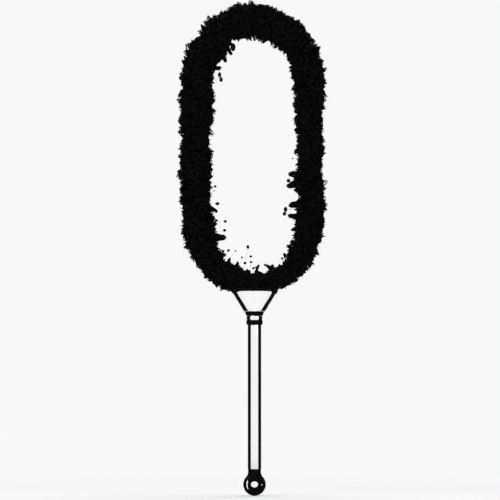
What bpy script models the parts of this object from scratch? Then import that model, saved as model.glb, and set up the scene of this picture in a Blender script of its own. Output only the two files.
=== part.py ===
# Lambswool duster: an open loop of wool pile on a bent steel rod, on a telescoping handle.
# Metres, +Z up the handle, the loop facing -Y. The origin is the middle of the handle tube.

import math

import bmesh
import bpy
from mathutils import Vector, geometry, noise

MM = 0.001

# Fits shared by all pieces
CLEARANCE = 0.3 * MM
CUT_OVERRUN = 2.0 * MM
MERGE_DISTANCE = 0.005 * MM
EDGE_BREAK = 0.25 * MM
SMOOTH_ANGLE = math.radians(35)

# Handle tube
TUBE_LENGTH = 180.0 * MM
TUBE_RADIUS = 7.95 * MM
TUBE_WALL = 0.8 * MM

# Hang cap at the foot of the handle
CAP_RADIUS = 13.4 * MM
CAP_NECK_HEIGHT = 6.5 * MM
CAP_NECK_FILLET = 2.0 * MM
CAP_SKIRT_LENGTH = 15.0 * MM
CAP_SKIRT_TAPER = 0.6 * MM
CAP_THICKNESS = 16.0 * MM
CAP_HOLE_RADIUS = 4.3 * MM
CAP_HOLE_CHAMFER = 0.9 * MM

# Inner tube and its guide space inside the handle tube
GUIDE_SPACE = 1.65 * MM
INNER_WALL = 0.8 * MM

# Stop at the lower end of the inner tube
STOW_GAP = 7.0 * MM
STOP_RING_HEIGHT = 10.0 * MM
STOP_RING_GROOVE = 0.5 * MM
STOP_RING_GROOVE_WIDTH = 2.0 * MM
PLUG_GRIP_LENGTH = 16.0 * MM
STOP_WASHER_OVERLAP = 1.2 * MM
STOP_WASHER_THICKNESS = 1.2 * MM
STOP_SCREW_RADIUS = 1.4 * MM
STOP_SCREW_LENGTH = 14.0 * MM
STOP_SCREW_HEAD_RADIUS = 3.0 * MM
STOP_SCREW_HEAD_HEIGHT = 2.0 * MM
STOP_SCREW_HEAD_CHAMFER = 1.0 * MM
STOP_SCREW_SLOT_WIDTH = 0.9 * MM
STOP_SCREW_SLOT_DEPTH = 0.9 * MM

# Collet on top of the handle tube
COLLET_SKIRT_LENGTH = 13.0 * MM
COLLET_FLANGE_HEIGHT = 0.9 * MM
COLLET_WALL = 1.2 * MM
COLLET_THREAD_HEIGHT = 3.2 * MM
COLLET_FINGER_HEIGHT = 3.4 * MM
COLLET_TAPER = 0.7 * MM
COLLET_SLOT_WIDTH = 1.1 * MM
COLLET_SLOT_COUNT = 4

# Lock collar: a barrel on a thin neck, with a ribbed rubber grip that laps the end of the tube
COLLAR_WALL = 2.1 * MM
COLLAR_BULGE = 1.2 * MM
COLLAR_BARREL_HEIGHT = 6.0 * MM
COLLAR_NECK_WALL = 1.1 * MM
COLLAR_NECK_HEIGHT = 1.8 * MM
COLLAR_TOP_WALL = 1.1 * MM
GRIP_STAND = 0.1 * MM
GRIP_LAP = 2.4 * MM
GRIP_RIB_DEPTH = 0.25 * MM
GRIP_RIB_COUNT = 22
GRIP_RIB_POINTS = 4

# Washer under the ferrule
WASHER_HEIGHT = 3.7 * MM
WASHER_RADIUS = 9.4 * MM

# Ferrule: round at its neck, flattened at its mouth
FERRULE_HEIGHT = 26.0 * MM
FERRULE_NECK_RADIUS = 12.0 * MM
FERRULE_MOUTH_WIDTH = 55.0 * MM
FERRULE_MOUTH_DEPTH = 27.0 * MM
FERRULE_WALL = 1.0 * MM
FERRULE_SQUARENESS = 2.6
PLATE_THICKNESS = 1.5 * MM
PLATE_SINK = 0.4 * MM
FLARE_SHARES = (
    (0.0, 0.0),
    (0.08, 0.02),
    (0.18, 0.12),
    (0.37, 0.36),
    (0.56, 0.57),
    (0.75, 0.77),
    (0.94, 0.96),
    (1.0, 1.0),
)

# Block inside the ferrule that joins the rod's tails to the inner tube
SOCKET_DEPTH = 15.0 * MM
TAIL_WEB = 1.4 * MM
TAIL_REST_HEIGHT = 8.0 * MM
PIN_RADIUS = 1.0 * MM
TAIL_PIN_HEIGHT = 18.0 * MM
TUBE_PIN_HEIGHT = 6.5 * MM

# Loop rod, and the centre line that it shares with the hide and the pile
ROD_RADIUS = 2.5 * MM
LOOP_HALF_WIDTH = 69.5 * MM
LOOP_BOTTOM_DROP = 76.0 * MM
LOOP_BOTTOM_SQUARENESS = 2.25
LOOP_STRAIGHT = 167.0 * MM
LOOP_TOP_RISE = 76.5 * MM
BEND_START = 2.0 * MM
BEND_REACH = 24.0 * MM
BEND_FOOT_PULL = 6.5 * MM
BEND_TOP_PULL = 12.0 * MM

# Hide sleeve, gathered by a band round each tail
HIDE_THICKNESS = 2.0 * MM
BAND_THICKNESS = 0.6 * MM
BAND_HEIGHT = 3.0 * MM
BAND_LIFT = 1.2 * MM

# Wool pile: its radius at the foot, sides and top of the loop, and its lumps
PILE_RADIUS_FOOT = 11.2 * MM
PILE_RADIUS_SIDE = 18.0 * MM
PILE_RADIUS_TOP = 23.4 * MM
PILE_PRESS = 0.8 * MM
PILE_LUMP = 2.2 * MM
PILE_LUMP_SPACING = 11.0 * MM
PILE_FOOT_END_SHARE = 0.03
PILE_SIDE_START_SHARE = 0.17
PILE_SIDE_END_SHARE = 0.72

# Facet counts
ROUND_STEPS = 32
SMALL_STEPS = 18
SECTION_POINTS = 32
BARREL_STEPS = 6
PILE_ARC_COUNT = 26
PILE_STRAIGHT_COUNT = 13
PILE_BEVEL_COUNT = 5
ROD_ARC_COUNT = 18
ROD_STRAIGHT_COUNT = 2
BEND_POINTS = 7

# Heights and radii that follow from the sizes above
TUBE_TOP = TUBE_LENGTH / 2
TUBE_FOOT = -TUBE_LENGTH / 2
TUBE_BORE = TUBE_RADIUS - TUBE_WALL
GUIDE_RADIUS = TUBE_BORE - CLEARANCE
INNER_RADIUS = TUBE_BORE - GUIDE_SPACE
INNER_BORE = INNER_RADIUS - INNER_WALL
SLIDE_BORE = INNER_RADIUS + CLEARANCE
PLUG_RADIUS = INNER_BORE - CLEARANCE

CAP_NECK_TOP = TUBE_FOOT - CLEARANCE
CAP_NECK_FOOT = CAP_NECK_TOP - CAP_NECK_HEIGHT
CAP_CENTRE = CAP_NECK_FOOT - math.sqrt(CAP_RADIUS**2 - TUBE_RADIUS**2)
CAP_SKIRT_TOP = TUBE_FOOT + CAP_SKIRT_LENGTH

SCREW_FOOT = CAP_SKIRT_TOP + STOW_GAP
SCREW_SEAT = SCREW_FOOT + STOP_SCREW_HEAD_HEIGHT
STOP_WASHER_FOOT = SCREW_SEAT + CLEARANCE
STOP_WASHER_TOP = STOP_WASHER_FOOT + STOP_WASHER_THICKNESS
STOP_RING_FOOT = STOP_WASHER_TOP + CLEARANCE
STOP_RING_TOP = STOP_RING_FOOT + STOP_RING_HEIGHT
INNER_FOOT = STOP_RING_TOP + CLEARANCE

COLLET_FOOT = TUBE_TOP - COLLET_SKIRT_LENGTH
FLANGE_FOOT = TUBE_TOP + CLEARANCE
FLANGE_TOP = FLANGE_FOOT + COLLET_FLANGE_HEIGHT
COLLET_RADIUS = SLIDE_BORE + COLLET_WALL
THREAD_TOP = FLANGE_TOP + COLLET_THREAD_HEIGHT
FINGER_TOP = THREAD_TOP + COLLET_FINGER_HEIGHT

COLLAR_BORE = COLLET_RADIUS + CLEARANCE
COLLAR_RADIUS = COLLAR_BORE + COLLAR_WALL
COLLAR_FOOT = FLANGE_TOP + CLEARANCE
BARREL_FOOT = COLLAR_FOOT + COLLAR_NECK_HEIGHT
COLLAR_TOP = BARREL_FOOT + COLLAR_BARREL_HEIGHT
NECK_RADIUS = COLLAR_BORE + COLLAR_NECK_WALL
GRIP_FOOT = TUBE_TOP - GRIP_LAP
GRIP_TOP = BARREL_FOOT - CLEARANCE

WASHER_FOOT = COLLAR_TOP + CLEARANCE
WASHER_TOP = WASHER_FOOT + WASHER_HEIGHT
FERRULE_FOOT = WASHER_TOP + CLEARANCE
FERRULE_TOP = FERRULE_FOOT + FERRULE_HEIGHT
PLATE_TOP = FERRULE_TOP - PLATE_SINK
PLATE_FOOT = PLATE_TOP - PLATE_THICKNESS
BLOCK_TOP = PLATE_FOOT - CLEARANCE
INNER_TOP = FERRULE_FOOT + SOCKET_DEPTH - CLEARANCE

ROD_BORE = ROD_RADIUS + CLEARANCE
TAIL_X = SLIDE_BORE + TAIL_WEB + ROD_BORE
TAIL_FOOT = FERRULE_FOOT + TAIL_REST_HEIGHT + CLEARANCE
HIDE_RADIUS = ROD_BORE + HIDE_THICKNESS
HIDE_FOOT = FERRULE_TOP + CLEARANCE
HIDE_BORE = HIDE_RADIUS + CLEARANCE
BAND_FOOT = FERRULE_TOP + BAND_LIFT
BAND_TOP = BAND_FOOT + BAND_HEIGHT
BAND_RADIUS = HIDE_BORE + BAND_THICKNESS

PILE_FOOT = FERRULE_TOP + CLEARANCE
LOOP_FOOT = FERRULE_TOP + PILE_RADIUS_FOOT - PILE_PRESS
LOOP_LOWER_CENTRE = LOOP_FOOT + LOOP_BOTTOM_DROP
LOOP_UPPER_CENTRE = LOOP_LOWER_CENTRE + LOOP_STRAIGHT


def clear_scene():
    for item in list(bpy.data.objects):
        bpy.data.objects.remove(item, do_unlink=True)


def new_collection(name):
    collection = bpy.data.collections.new(name)
    bpy.context.scene.collection.children.link(collection)
    return collection


clear_scene()
PARTS = new_collection("lambswool_duster")
CUTTERS = new_collection("cutters")


def finish(name, color, roughness, metallic):
    material = bpy.data.materials.new(name)
    material.use_nodes = True
    shader = material.node_tree.nodes["Principled BSDF"]
    shader.inputs["Base Color"].default_value = (*color, 1.0)
    shader.inputs["Roughness"].default_value = roughness
    shader.inputs["Metallic"].default_value = metallic
    return material


def add_piece(name, mesh, axis, material):
    piece = bpy.data.objects.new(name, mesh)
    PARTS.objects.link(piece)
    piece.parent = axis
    mesh.materials.append(material)
    return piece


def add_axis(name):
    axis = bpy.data.objects.new(name, None)
    axis.empty_display_type = "SINGLE_ARROW"
    axis.empty_display_size = TUBE_RADIUS
    PARTS.objects.link(axis)
    return axis


def mark_cutter(cutter):
    cutter.hide_render = True
    cutter.display_type = "WIRE"


def cut(piece, cutter):
    boolean = piece.modifiers.new(cutter.name, "BOOLEAN")
    boolean.operation = "DIFFERENCE"
    boolean.object = cutter


def smooth(mesh):
    mesh.shade_smooth()
    mesh.set_sharp_from_angle(angle=SMOOTH_ANGLE)


def mesh_of(shape, name):
    mesh = bpy.data.meshes.new(name)
    shape.to_mesh(mesh)
    shape.free()
    return mesh


def turned(name, profile, axis, material, steps=ROUND_STEPS, closed=True):
    # The profile runs down the outer side; a closed one returns up its bore.
    mesh = bpy.data.meshes.new(name)
    last = len(profile) - 1
    edges = [(i, i + 1) for i in range(last)] + ([(last, 0)] if closed else [])
    mesh.from_pydata([(radius, 0, height) for radius, height in profile], edges, [])
    piece = add_piece(name, mesh, axis, material)
    screw = piece.modifiers.new("Turn", "SCREW")
    screw.steps = screw.render_steps = steps
    screw.use_merge_vertices = True
    screw.merge_threshold = MERGE_DISTANCE
    screw.use_smooth_shade = False
    return piece


def rod_cutter(name, radius, start, end, steps=SMALL_STEPS, end_radius=None):
    # A straight round cutter between two points, tapered where end_radius is given.
    shape = bmesh.new()
    run = end - start
    bmesh.ops.create_cone(
        shape,
        cap_ends=True,
        segments=steps,
        radius1=radius,
        radius2=radius if end_radius is None else end_radius,
        depth=run.length,
    )
    bmesh.ops.rotate(shape, verts=shape.verts, matrix=run.to_track_quat("Z", "Y").to_matrix())
    bmesh.ops.translate(shape, verts=shape.verts, vec=(start + end) / 2)
    cutter = bpy.data.objects.new(name, mesh_of(shape, name))
    CUTTERS.objects.link(cutter)
    mark_cutter(cutter)
    return cutter


def box_cutter(name, size, centre):
    shape = bmesh.new()
    bmesh.ops.create_cube(shape, size=1.0)
    bmesh.ops.scale(shape, verts=shape.verts, vec=size)
    bmesh.ops.translate(shape, verts=shape.verts, vec=centre)
    cutter = bpy.data.objects.new(name, mesh_of(shape, name))
    CUTTERS.objects.link(cutter)
    mark_cutter(cutter)
    return cutter


def mesh_of_curve(guide, name):
    # The curve object's welded mesh and its place; the curve itself is removed.
    bpy.context.view_layer.update()
    evaluated = guide.evaluated_get(bpy.context.evaluated_depsgraph_get())
    mesh = bpy.data.meshes.new_from_object(evaluated)
    mesh.name = name
    place_in_world = guide.matrix_world.copy()
    bpy.data.objects.remove(guide, do_unlink=True)
    shape = bmesh.new()
    shape.from_mesh(mesh)
    bmesh.ops.remove_doubles(shape, verts=shape.verts, dist=MERGE_DISTANCE)
    bmesh.ops.recalc_face_normals(shape, faces=shape.faces)
    shape.to_mesh(mesh)
    shape.free()
    return mesh, place_in_world


def swept(name, points, radius, collection, radii=None, closed=False, resolution=2):
    # A tube along the points, made a mesh so that it can be cut or walled.
    curve = bpy.data.curves.new(name, "CURVE")
    curve.dimensions = "3D"
    curve.bevel_depth = radius
    curve.bevel_resolution = resolution
    curve.use_fill_caps = not closed
    curve.twist_mode = "MINIMUM"
    spline = curve.splines.new("POLY")
    spline.points.add(len(points) - 1)
    spline.use_cyclic_u = closed
    for place, point in enumerate(points):
        spline.points[place].co = (*point, 1.0)
        spline.points[place].radius = radii[place] / radius if radii else 1.0
    guide = bpy.data.objects.new(name + "_line", curve)
    collection.objects.link(guide)
    return mesh_of_curve(guide, name)


def sweep_cutter(name, points, radius, resolution=2):
    mesh, place_in_world = swept(name, points, radius, CUTTERS, resolution=resolution)
    cutter = bpy.data.objects.new(name, mesh)
    cutter.matrix_world = place_in_world
    CUTTERS.objects.link(cutter)
    mark_cutter(cutter)
    return cutter


def lofted(name, rings, capped):
    # Quads between rings of equal count, which run anticlockwise seen from above.
    shape = bmesh.new()
    rows = [[shape.verts.new(point) for point in ring] for ring in rings]
    count = len(rings[0])
    for lower, upper in zip(rows, rows[1:]):
        for i in range(count):
            after = (i + 1) % count
            shape.faces.new((lower[i], lower[after], upper[after], upper[i]))
    if capped:
        shape.faces.new(list(reversed(rows[0])))
        shape.faces.new(rows[-1])
    return mesh_of(shape, name)


# Ferrule sections


def flare_share(height_share):
    for (low, low_flare), (high, high_flare) in zip(FLARE_SHARES, FLARE_SHARES[1:]):
        if height_share <= high:
            return low_flare + (high_flare - low_flare) * (height_share - low) / (high - low)
    return 1.0


def ferrule_outline(height, inset):
    # Half the width and depth and the squareness of the ferrule at a height, drawn in by the inset.
    flare = flare_share((height - FERRULE_FOOT) / FERRULE_HEIGHT)
    half_width = FERRULE_NECK_RADIUS + (FERRULE_MOUTH_WIDTH / 2 - FERRULE_NECK_RADIUS) * flare
    half_depth = FERRULE_NECK_RADIUS + (FERRULE_MOUTH_DEPTH / 2 - FERRULE_NECK_RADIUS) * flare
    return half_width - inset, half_depth - inset, 2 + (FERRULE_SQUARENESS - 2) * flare


def ferrule_section(height, inset):
    # A circle at the neck, which squares up as it widens.
    half_width, half_depth, squareness = ferrule_outline(height, inset)
    ring = []
    for i in range(SECTION_POINTS):
        across, along = math.cos(math.tau * i / SECTION_POINTS), math.sin(math.tau * i / SECTION_POINTS)
        x = math.copysign(abs(across) ** (2 / squareness), across) * half_width
        y = math.copysign(abs(along) ** (2 / squareness), along) * half_depth
        ring.append(Vector((x, y, height)))
    return ring


def ferrule_depth(x, height, inset):
    half_width, half_depth, squareness = ferrule_outline(height, inset)
    return half_depth * (1 - (abs(x) / half_width) ** squareness) ** (1 / squareness)


def ferrule_heights(foot, top):
    inner = [FERRULE_FOOT + share * FERRULE_HEIGHT for share, _ in FLARE_SHARES]
    return [foot] + [h for h in inner if foot + EDGE_BREAK < h < top - EDGE_BREAK] + [top]


# The loop's centre line


def arc_run(centre_height, rise, squareness, first, last, count):
    line = []
    for i in range(count):
        angle = first + (last - first) * i / count
        across, up = math.cos(angle), math.sin(angle)
        x = math.copysign(abs(across) ** (2 / squareness), across) * LOOP_HALF_WIDTH
        z = math.copysign(abs(up) ** (2 / squareness), up) * rise
        line.append(Vector((x, 0, centre_height + z)))
    return line


def straight_run(x, first, last, count):
    return [Vector((x, 0, first + (last - first) * i / count)) for i in range(count)]


def loop_line(arc_count, straight_count):
    # The closed centre line, from its foot up the +X side, over the top and down again.
    lower, upper = LOOP_LOWER_CENTRE, LOOP_UPPER_CENTRE
    drop, square = LOOP_BOTTOM_DROP, LOOP_BOTTOM_SQUARENESS
    half = arc_count // 2
    line = arc_run(lower, drop, square, -math.pi / 2, 0, half)
    line += straight_run(LOOP_HALF_WIDTH, lower, upper, straight_count)
    line += arc_run(upper, LOOP_TOP_RISE, 2, 0, math.pi, arc_count)
    line += straight_run(-LOOP_HALF_WIDTH, upper, lower, straight_count)
    line += arc_run(lower, drop, square, -math.pi, -math.pi / 2, half)
    return line


def bend_line(side, foot):
    # A tail's run from its foot up to the loop: straight, then bent outwards.
    bend_foot = Vector((side * TAIL_X, 0, BAND_TOP + BEND_START))
    share = (TAIL_X + BEND_REACH) / LOOP_HALF_WIDTH
    square = LOOP_BOTTOM_SQUARENESS
    left_over = 1 - share**square
    height = LOOP_LOWER_CENTRE - LOOP_BOTTOM_DROP * left_over ** (1 / square)
    bend_top = Vector((side * share * LOOP_HALF_WIDTH, 0, height))
    slope = LOOP_BOTTOM_DROP / LOOP_HALF_WIDTH * share ** (square - 1) * left_over ** (1 / square - 1)
    along = Vector((side, 0, slope)).normalized()
    curve = geometry.interpolate_bezier(
        bend_foot,
        bend_foot + Vector((0, 0, BEND_FOOT_PULL)),
        bend_top - along * BEND_TOP_PULL,
        bend_top,
        BEND_POINTS,
    )
    return [Vector((side * TAIL_X, 0, foot))] + [Vector(point) for point in curve]


def rod_line(foot):
    # One open line: up one tail, round the loop and down the other tail.
    right, left = bend_line(1, foot), bend_line(-1, foot)
    clear_x = right[-1].x + BEND_REACH / BEND_POINTS
    loop = loop_line(ROD_ARC_COUNT, ROD_STRAIGHT_COUNT)
    over = [p for p in loop if p.z > LOOP_LOWER_CENTRE or abs(p.x) > clear_x]
    return right + over + left[::-1]


def eased(share, first, last):
    inside = min(max((share - first) / (last - first), 0), 1)
    return inside * inside * (3 - 2 * inside)


def pile_radius(share):
    # share runs from 0 at the loop's foot to 1 at its top, along either side.
    fuller = eased(share, PILE_FOOT_END_SHARE, PILE_SIDE_START_SHARE)
    crown = eased(share, PILE_SIDE_END_SHARE, 1)
    side_radius = PILE_RADIUS_FOOT + (PILE_RADIUS_SIDE - PILE_RADIUS_FOOT) * fuller
    return side_radius + (PILE_RADIUS_TOP - PILE_RADIUS_SIDE) * crown


# Handle


def make_handle_tube(axis, material):
    profile = [
        (TUBE_RADIUS - EDGE_BREAK, TUBE_TOP),
        (TUBE_RADIUS, TUBE_TOP - EDGE_BREAK),
        (TUBE_RADIUS, TUBE_FOOT + EDGE_BREAK),
        (TUBE_RADIUS - EDGE_BREAK, TUBE_FOOT),
        (TUBE_BORE, TUBE_FOOT),
        (TUBE_BORE, TUBE_TOP),
    ]
    return turned("handle_tube", profile, axis, material)


def make_hang_cap(axis, material):
    # A ball on a short neck, plugged into the tube, flattened front and back round a hanging hole.
    profile = [
        (0, CAP_SKIRT_TOP),
        (GUIDE_RADIUS - CAP_SKIRT_TAPER, CAP_SKIRT_TOP),
        (GUIDE_RADIUS, CAP_SKIRT_TOP - CAP_SKIRT_TAPER),
        (GUIDE_RADIUS, CAP_NECK_TOP),
        (TUBE_RADIUS - EDGE_BREAK, CAP_NECK_TOP),
        (TUBE_RADIUS, CAP_NECK_TOP - EDGE_BREAK),
    ]
    neck_angle = math.acos(TUBE_RADIUS / CAP_RADIUS)
    fillet_foot = neck_angle - CAP_NECK_FILLET / CAP_RADIUS
    profile.append((TUBE_RADIUS, CAP_NECK_FOOT + CAP_NECK_FILLET / 2))
    steps = SMALL_STEPS // 2
    for i in range(steps):
        angle = fillet_foot - (fillet_foot + math.pi / 2) * i / steps
        profile.append((CAP_RADIUS * math.cos(angle), CAP_CENTRE + CAP_RADIUS * math.sin(angle)))
    profile.append((0, CAP_CENTRE - CAP_RADIUS))
    cap = turned("hang_cap", profile, axis, material, closed=False)
    face = CAP_THICKNESS / 2
    for name, side in (("front", -1), ("back", 1)):
        depth = CAP_RADIUS - face + CUT_OVERRUN
        size = (2 * CAP_RADIUS + CUT_OVERRUN, depth, 2 * CAP_RADIUS)
        centre = Vector((0, side * (face + depth / 2), CAP_CENTRE))
        cut(cap, box_cutter(f"cap_{name}_flat", size, centre))
        wide = CAP_HOLE_RADIUS + CAP_HOLE_CHAMFER + CUT_OVERRUN
        outer = Vector((0, side * (face + CUT_OVERRUN), CAP_CENTRE))
        inner = Vector((0, side * (face - CAP_HOLE_CHAMFER), CAP_CENTRE))
        cut(cap, rod_cutter(f"cap_{name}_chamfer", wide, outer, inner, ROUND_STEPS, CAP_HOLE_RADIUS))
    reach = Vector((0, CAP_RADIUS + CUT_OVERRUN, 0))
    middle = Vector((0, 0, CAP_CENTRE))
    hole = rod_cutter("cap_hole", CAP_HOLE_RADIUS, middle - reach, middle + reach, ROUND_STEPS)
    cut(cap, hole)
    return cap


def make_collet(axis, material):
    # A bush in the tube's mouth whose slotted fingers the collar closes on the inner tube.
    profile = [
        (COLLET_RADIUS - COLLET_TAPER, FINGER_TOP),
        (COLLET_RADIUS, THREAD_TOP),
        (COLLET_RADIUS, FLANGE_TOP),
        (TUBE_RADIUS, FLANGE_TOP),
        (TUBE_RADIUS, FLANGE_FOOT),
        (GUIDE_RADIUS, FLANGE_FOOT),
        (GUIDE_RADIUS, COLLET_FOOT),
        (SLIDE_BORE, COLLET_FOOT),
        (SLIDE_BORE, FINGER_TOP),
    ]
    collet = turned("collet", profile, axis, material)
    foot = FLANGE_TOP + COLLET_FLANGE_HEIGHT
    height = FINGER_TOP - foot + CUT_OVERRUN
    reach = COLLET_RADIUS + CUT_OVERRUN
    for i in range(COLLET_SLOT_COUNT):
        angle = math.tau * (i + 1 / 2) / COLLET_SLOT_COUNT
        slot = box_cutter(
            f"collet_slot_{i + 1}",
            (reach, COLLET_SLOT_WIDTH, height),
            Vector((reach / 2, 0, foot + height / 2)),
        )
        slot.rotation_euler.z = angle
        cut(collet, slot)
    return collet


# Lock collar


def make_lock_collar(axis, material):
    # A bulging barrel over the collet, with a cone inside that squeezes the fingers.
    barrel = []
    for i in range(BARREL_STEPS + 1):
        share = i / BARREL_STEPS
        fall = (2 * share - 1) ** 2
        barrel.append((COLLAR_RADIUS - COLLAR_BULGE * fall, COLLAR_TOP - COLLAR_BARREL_HEIGHT * share))
    mouth = COLLET_RADIUS - COLLET_TAPER
    profile = [
        *barrel,
        (NECK_RADIUS, BARREL_FOOT),
        (NECK_RADIUS, COLLAR_FOOT),
        (COLLAR_BORE, COLLAR_FOOT),
        (COLLAR_BORE, THREAD_TOP),
        (mouth + CLEARANCE, FINGER_TOP),
        (mouth + CLEARANCE, COLLAR_TOP - COLLAR_TOP_WALL),
        (mouth, COLLAR_TOP),
    ]
    return turned("lock_collar", profile, axis, material)


def make_collar_grip(axis, material):
    # A ribbed rubber sleeve on the collar's neck, whose skirt laps the collet's flange and the tube.
    crest = COLLAR_RADIUS + GRIP_STAND
    bore = TUBE_RADIUS + CLEARANCE
    curve = bpy.data.curves.new("collar_grip_outline", "CURVE")
    curve.dimensions = "2D"
    curve.fill_mode = "BOTH"
    curve.extrude = (GRIP_TOP - GRIP_FOOT) / 2
    outer = []
    points = GRIP_RIB_POINTS * GRIP_RIB_COUNT
    for i in range(points):
        angle = math.tau * i / points
        in_groove = i % GRIP_RIB_POINTS >= GRIP_RIB_POINTS / 2
        radius = crest - (GRIP_RIB_DEPTH if in_groove else 0)
        outer.append((radius * math.cos(angle), radius * math.sin(angle)))
    inner = [
        (bore * math.cos(math.tau * i / ROUND_STEPS), bore * math.sin(math.tau * i / ROUND_STEPS))
        for i in range(ROUND_STEPS)
    ]
    for outline in (outer, inner):
        spline = curve.splines.new("POLY")
        spline.points.add(len(outline) - 1)
        spline.use_cyclic_u = True
        for place, (x, y) in enumerate(outline):
            spline.points[place].co = (x, y, 0, 1)
    guide = bpy.data.objects.new("collar_grip_outline", curve)
    guide.location.z = (GRIP_FOOT + GRIP_TOP) / 2
    PARTS.objects.link(guide)
    mesh, place_in_world = mesh_of_curve(guide, "collar_grip")
    grip = add_piece("collar_grip", mesh, axis, material)
    grip.matrix_world = place_in_world
    seat, above = Vector((0, 0, FLANGE_TOP)), Vector((0, 0, GRIP_TOP + CUT_OVERRUN))
    cut(grip, rod_cutter("grip_neck_seat", NECK_RADIUS + CLEARANCE, seat, above, ROUND_STEPS))
    return grip


# Extension: the inner tube, its stop and its end pieces


def make_inner_tube(axis, material):
    profile = [
        (INNER_RADIUS, INNER_TOP),
        (INNER_RADIUS, INNER_FOOT),
        (INNER_BORE, INNER_FOOT),
        (INNER_BORE, INNER_TOP),
    ]
    tube = turned("inner_tube", profile, axis, material)
    cut(tube, cross_hole("inner_tube_pin_hole", 0, FERRULE_FOOT + TUBE_PIN_HEIGHT))
    return tube


def make_inner_tube_plug(axis, material):
    foot, top = STOP_WASHER_TOP + CLEARANCE, INNER_FOOT + PLUG_GRIP_LENGTH
    profile = [
        (0, top),
        (PLUG_RADIUS - EDGE_BREAK, top),
        (PLUG_RADIUS, top - EDGE_BREAK),
        (PLUG_RADIUS, foot),
        (0, foot),
    ]
    plug = turned("inner_tube_plug", profile, axis, material, closed=False)
    below = Vector((0, 0, foot - CUT_OVERRUN))
    above = Vector((0, 0, SCREW_SEAT + STOP_SCREW_LENGTH + CLEARANCE))
    cut(plug, rod_cutter("plug_screw_hole", STOP_SCREW_RADIUS + CLEARANCE, below, above))
    return plug


def make_stop_ring(axis, material):
    # The sliding guide, with a grease groove round its middle.
    middle = (STOP_RING_FOOT + STOP_RING_TOP) / 2
    groove = STOP_RING_GROOVE_WIDTH / 2
    bore = PLUG_RADIUS + CLEARANCE
    profile = [
        (GUIDE_RADIUS - EDGE_BREAK, STOP_RING_TOP),
        (GUIDE_RADIUS, STOP_RING_TOP - EDGE_BREAK),
        (GUIDE_RADIUS, middle + groove),
        (GUIDE_RADIUS - STOP_RING_GROOVE, middle + groove),
        (GUIDE_RADIUS - STOP_RING_GROOVE, middle - groove),
        (GUIDE_RADIUS, middle - groove),
        (GUIDE_RADIUS, STOP_RING_FOOT + EDGE_BREAK),
        (GUIDE_RADIUS - EDGE_BREAK, STOP_RING_FOOT),
        (bore, STOP_RING_FOOT),
        (bore, STOP_RING_TOP),
    ]
    return turned("stop_ring", profile, axis, material)


def make_stop_washer(axis, material):
    bore = STOP_SCREW_RADIUS + CLEARANCE
    rim = PLUG_RADIUS + CLEARANCE + STOP_WASHER_OVERLAP
    profile = [
        (rim, STOP_WASHER_TOP),
        (rim, STOP_WASHER_FOOT),
        (bore, STOP_WASHER_FOOT),
        (bore, STOP_WASHER_TOP),
    ]
    return turned("stop_washer", profile, axis, material, SMALL_STEPS)


def make_stop_screw(axis, material):
    tip = SCREW_SEAT + STOP_SCREW_LENGTH
    profile = [
        (0, tip),
        (STOP_SCREW_RADIUS - EDGE_BREAK, tip),
        (STOP_SCREW_RADIUS, tip - EDGE_BREAK),
        (STOP_SCREW_RADIUS, SCREW_SEAT),
        (STOP_SCREW_HEAD_RADIUS, SCREW_SEAT),
        (STOP_SCREW_HEAD_RADIUS, SCREW_FOOT + STOP_SCREW_HEAD_CHAMFER),
        (STOP_SCREW_HEAD_RADIUS - STOP_SCREW_HEAD_CHAMFER, SCREW_FOOT),
        (0, SCREW_FOOT),
    ]
    screw = turned("stop_screw", profile, axis, material, SMALL_STEPS, closed=False)
    depth = STOP_SCREW_SLOT_DEPTH + CUT_OVERRUN
    size = (2 * STOP_SCREW_HEAD_RADIUS + CUT_OVERRUN, STOP_SCREW_SLOT_WIDTH, depth)
    centre = Vector((0, 0, SCREW_FOOT + STOP_SCREW_SLOT_DEPTH - depth / 2))
    cut(screw, box_cutter("stop_screw_slot", size, centre))
    return screw


# Ferrule and the block inside it


def cross_hole(name, x, height):
    reach = Vector((0, FERRULE_MOUTH_DEPTH, 0))
    middle = Vector((x, 0, height))
    return rod_cutter(name, PIN_RADIUS + CLEARANCE, middle - reach, middle + reach)


def tail_hole(name, side, foot, top):
    x = side * TAIL_X
    return rod_cutter(name, ROD_BORE, Vector((x, 0, foot)), Vector((x, 0, top)))


def make_ferrule_washer(axis, material):
    profile = [
        (WASHER_RADIUS - EDGE_BREAK, WASHER_TOP),
        (WASHER_RADIUS, WASHER_TOP - EDGE_BREAK),
        (WASHER_RADIUS, WASHER_FOOT + EDGE_BREAK),
        (WASHER_RADIUS - EDGE_BREAK, WASHER_FOOT),
        (SLIDE_BORE, WASHER_FOOT),
        (SLIDE_BORE, WASHER_TOP),
    ]
    return turned("ferrule_washer", profile, axis, material)


def make_ferrule_shell(axis, material):
    rings = [ferrule_section(height, 0) for height in ferrule_heights(FERRULE_FOOT, FERRULE_TOP)]
    shell = add_piece("ferrule_shell", lofted("ferrule_shell", rings, False), axis, material)
    wall = shell.modifiers.new("Wall", "SOLIDIFY")
    wall.thickness = FERRULE_WALL
    wall.offset = -1
    wall.use_even_offset = True
    smooth(shell.data)
    size = (2 * FERRULE_MOUTH_WIDTH, 2 * FERRULE_MOUTH_DEPTH, CUT_OVERRUN)
    cut(shell, box_cutter("mouth_trim", size, Vector((0, 0, FERRULE_TOP + CUT_OVERRUN / 2))))
    return shell


def make_ferrule_plate(axis, material):
    inset = FERRULE_WALL + CLEARANCE
    rings = [ferrule_section(PLATE_FOOT, inset), ferrule_section(PLATE_TOP, inset)]
    plate = add_piece("ferrule_plate", lofted("ferrule_plate", rings, True), axis, material)
    for name, side in (("left", -1), ("right", 1)):
        hole = tail_hole(f"plate_{name}_hole", side, PLATE_FOOT - CUT_OVERRUN, PLATE_TOP + CUT_OVERRUN)
        cut(plate, hole)
    return plate


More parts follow.
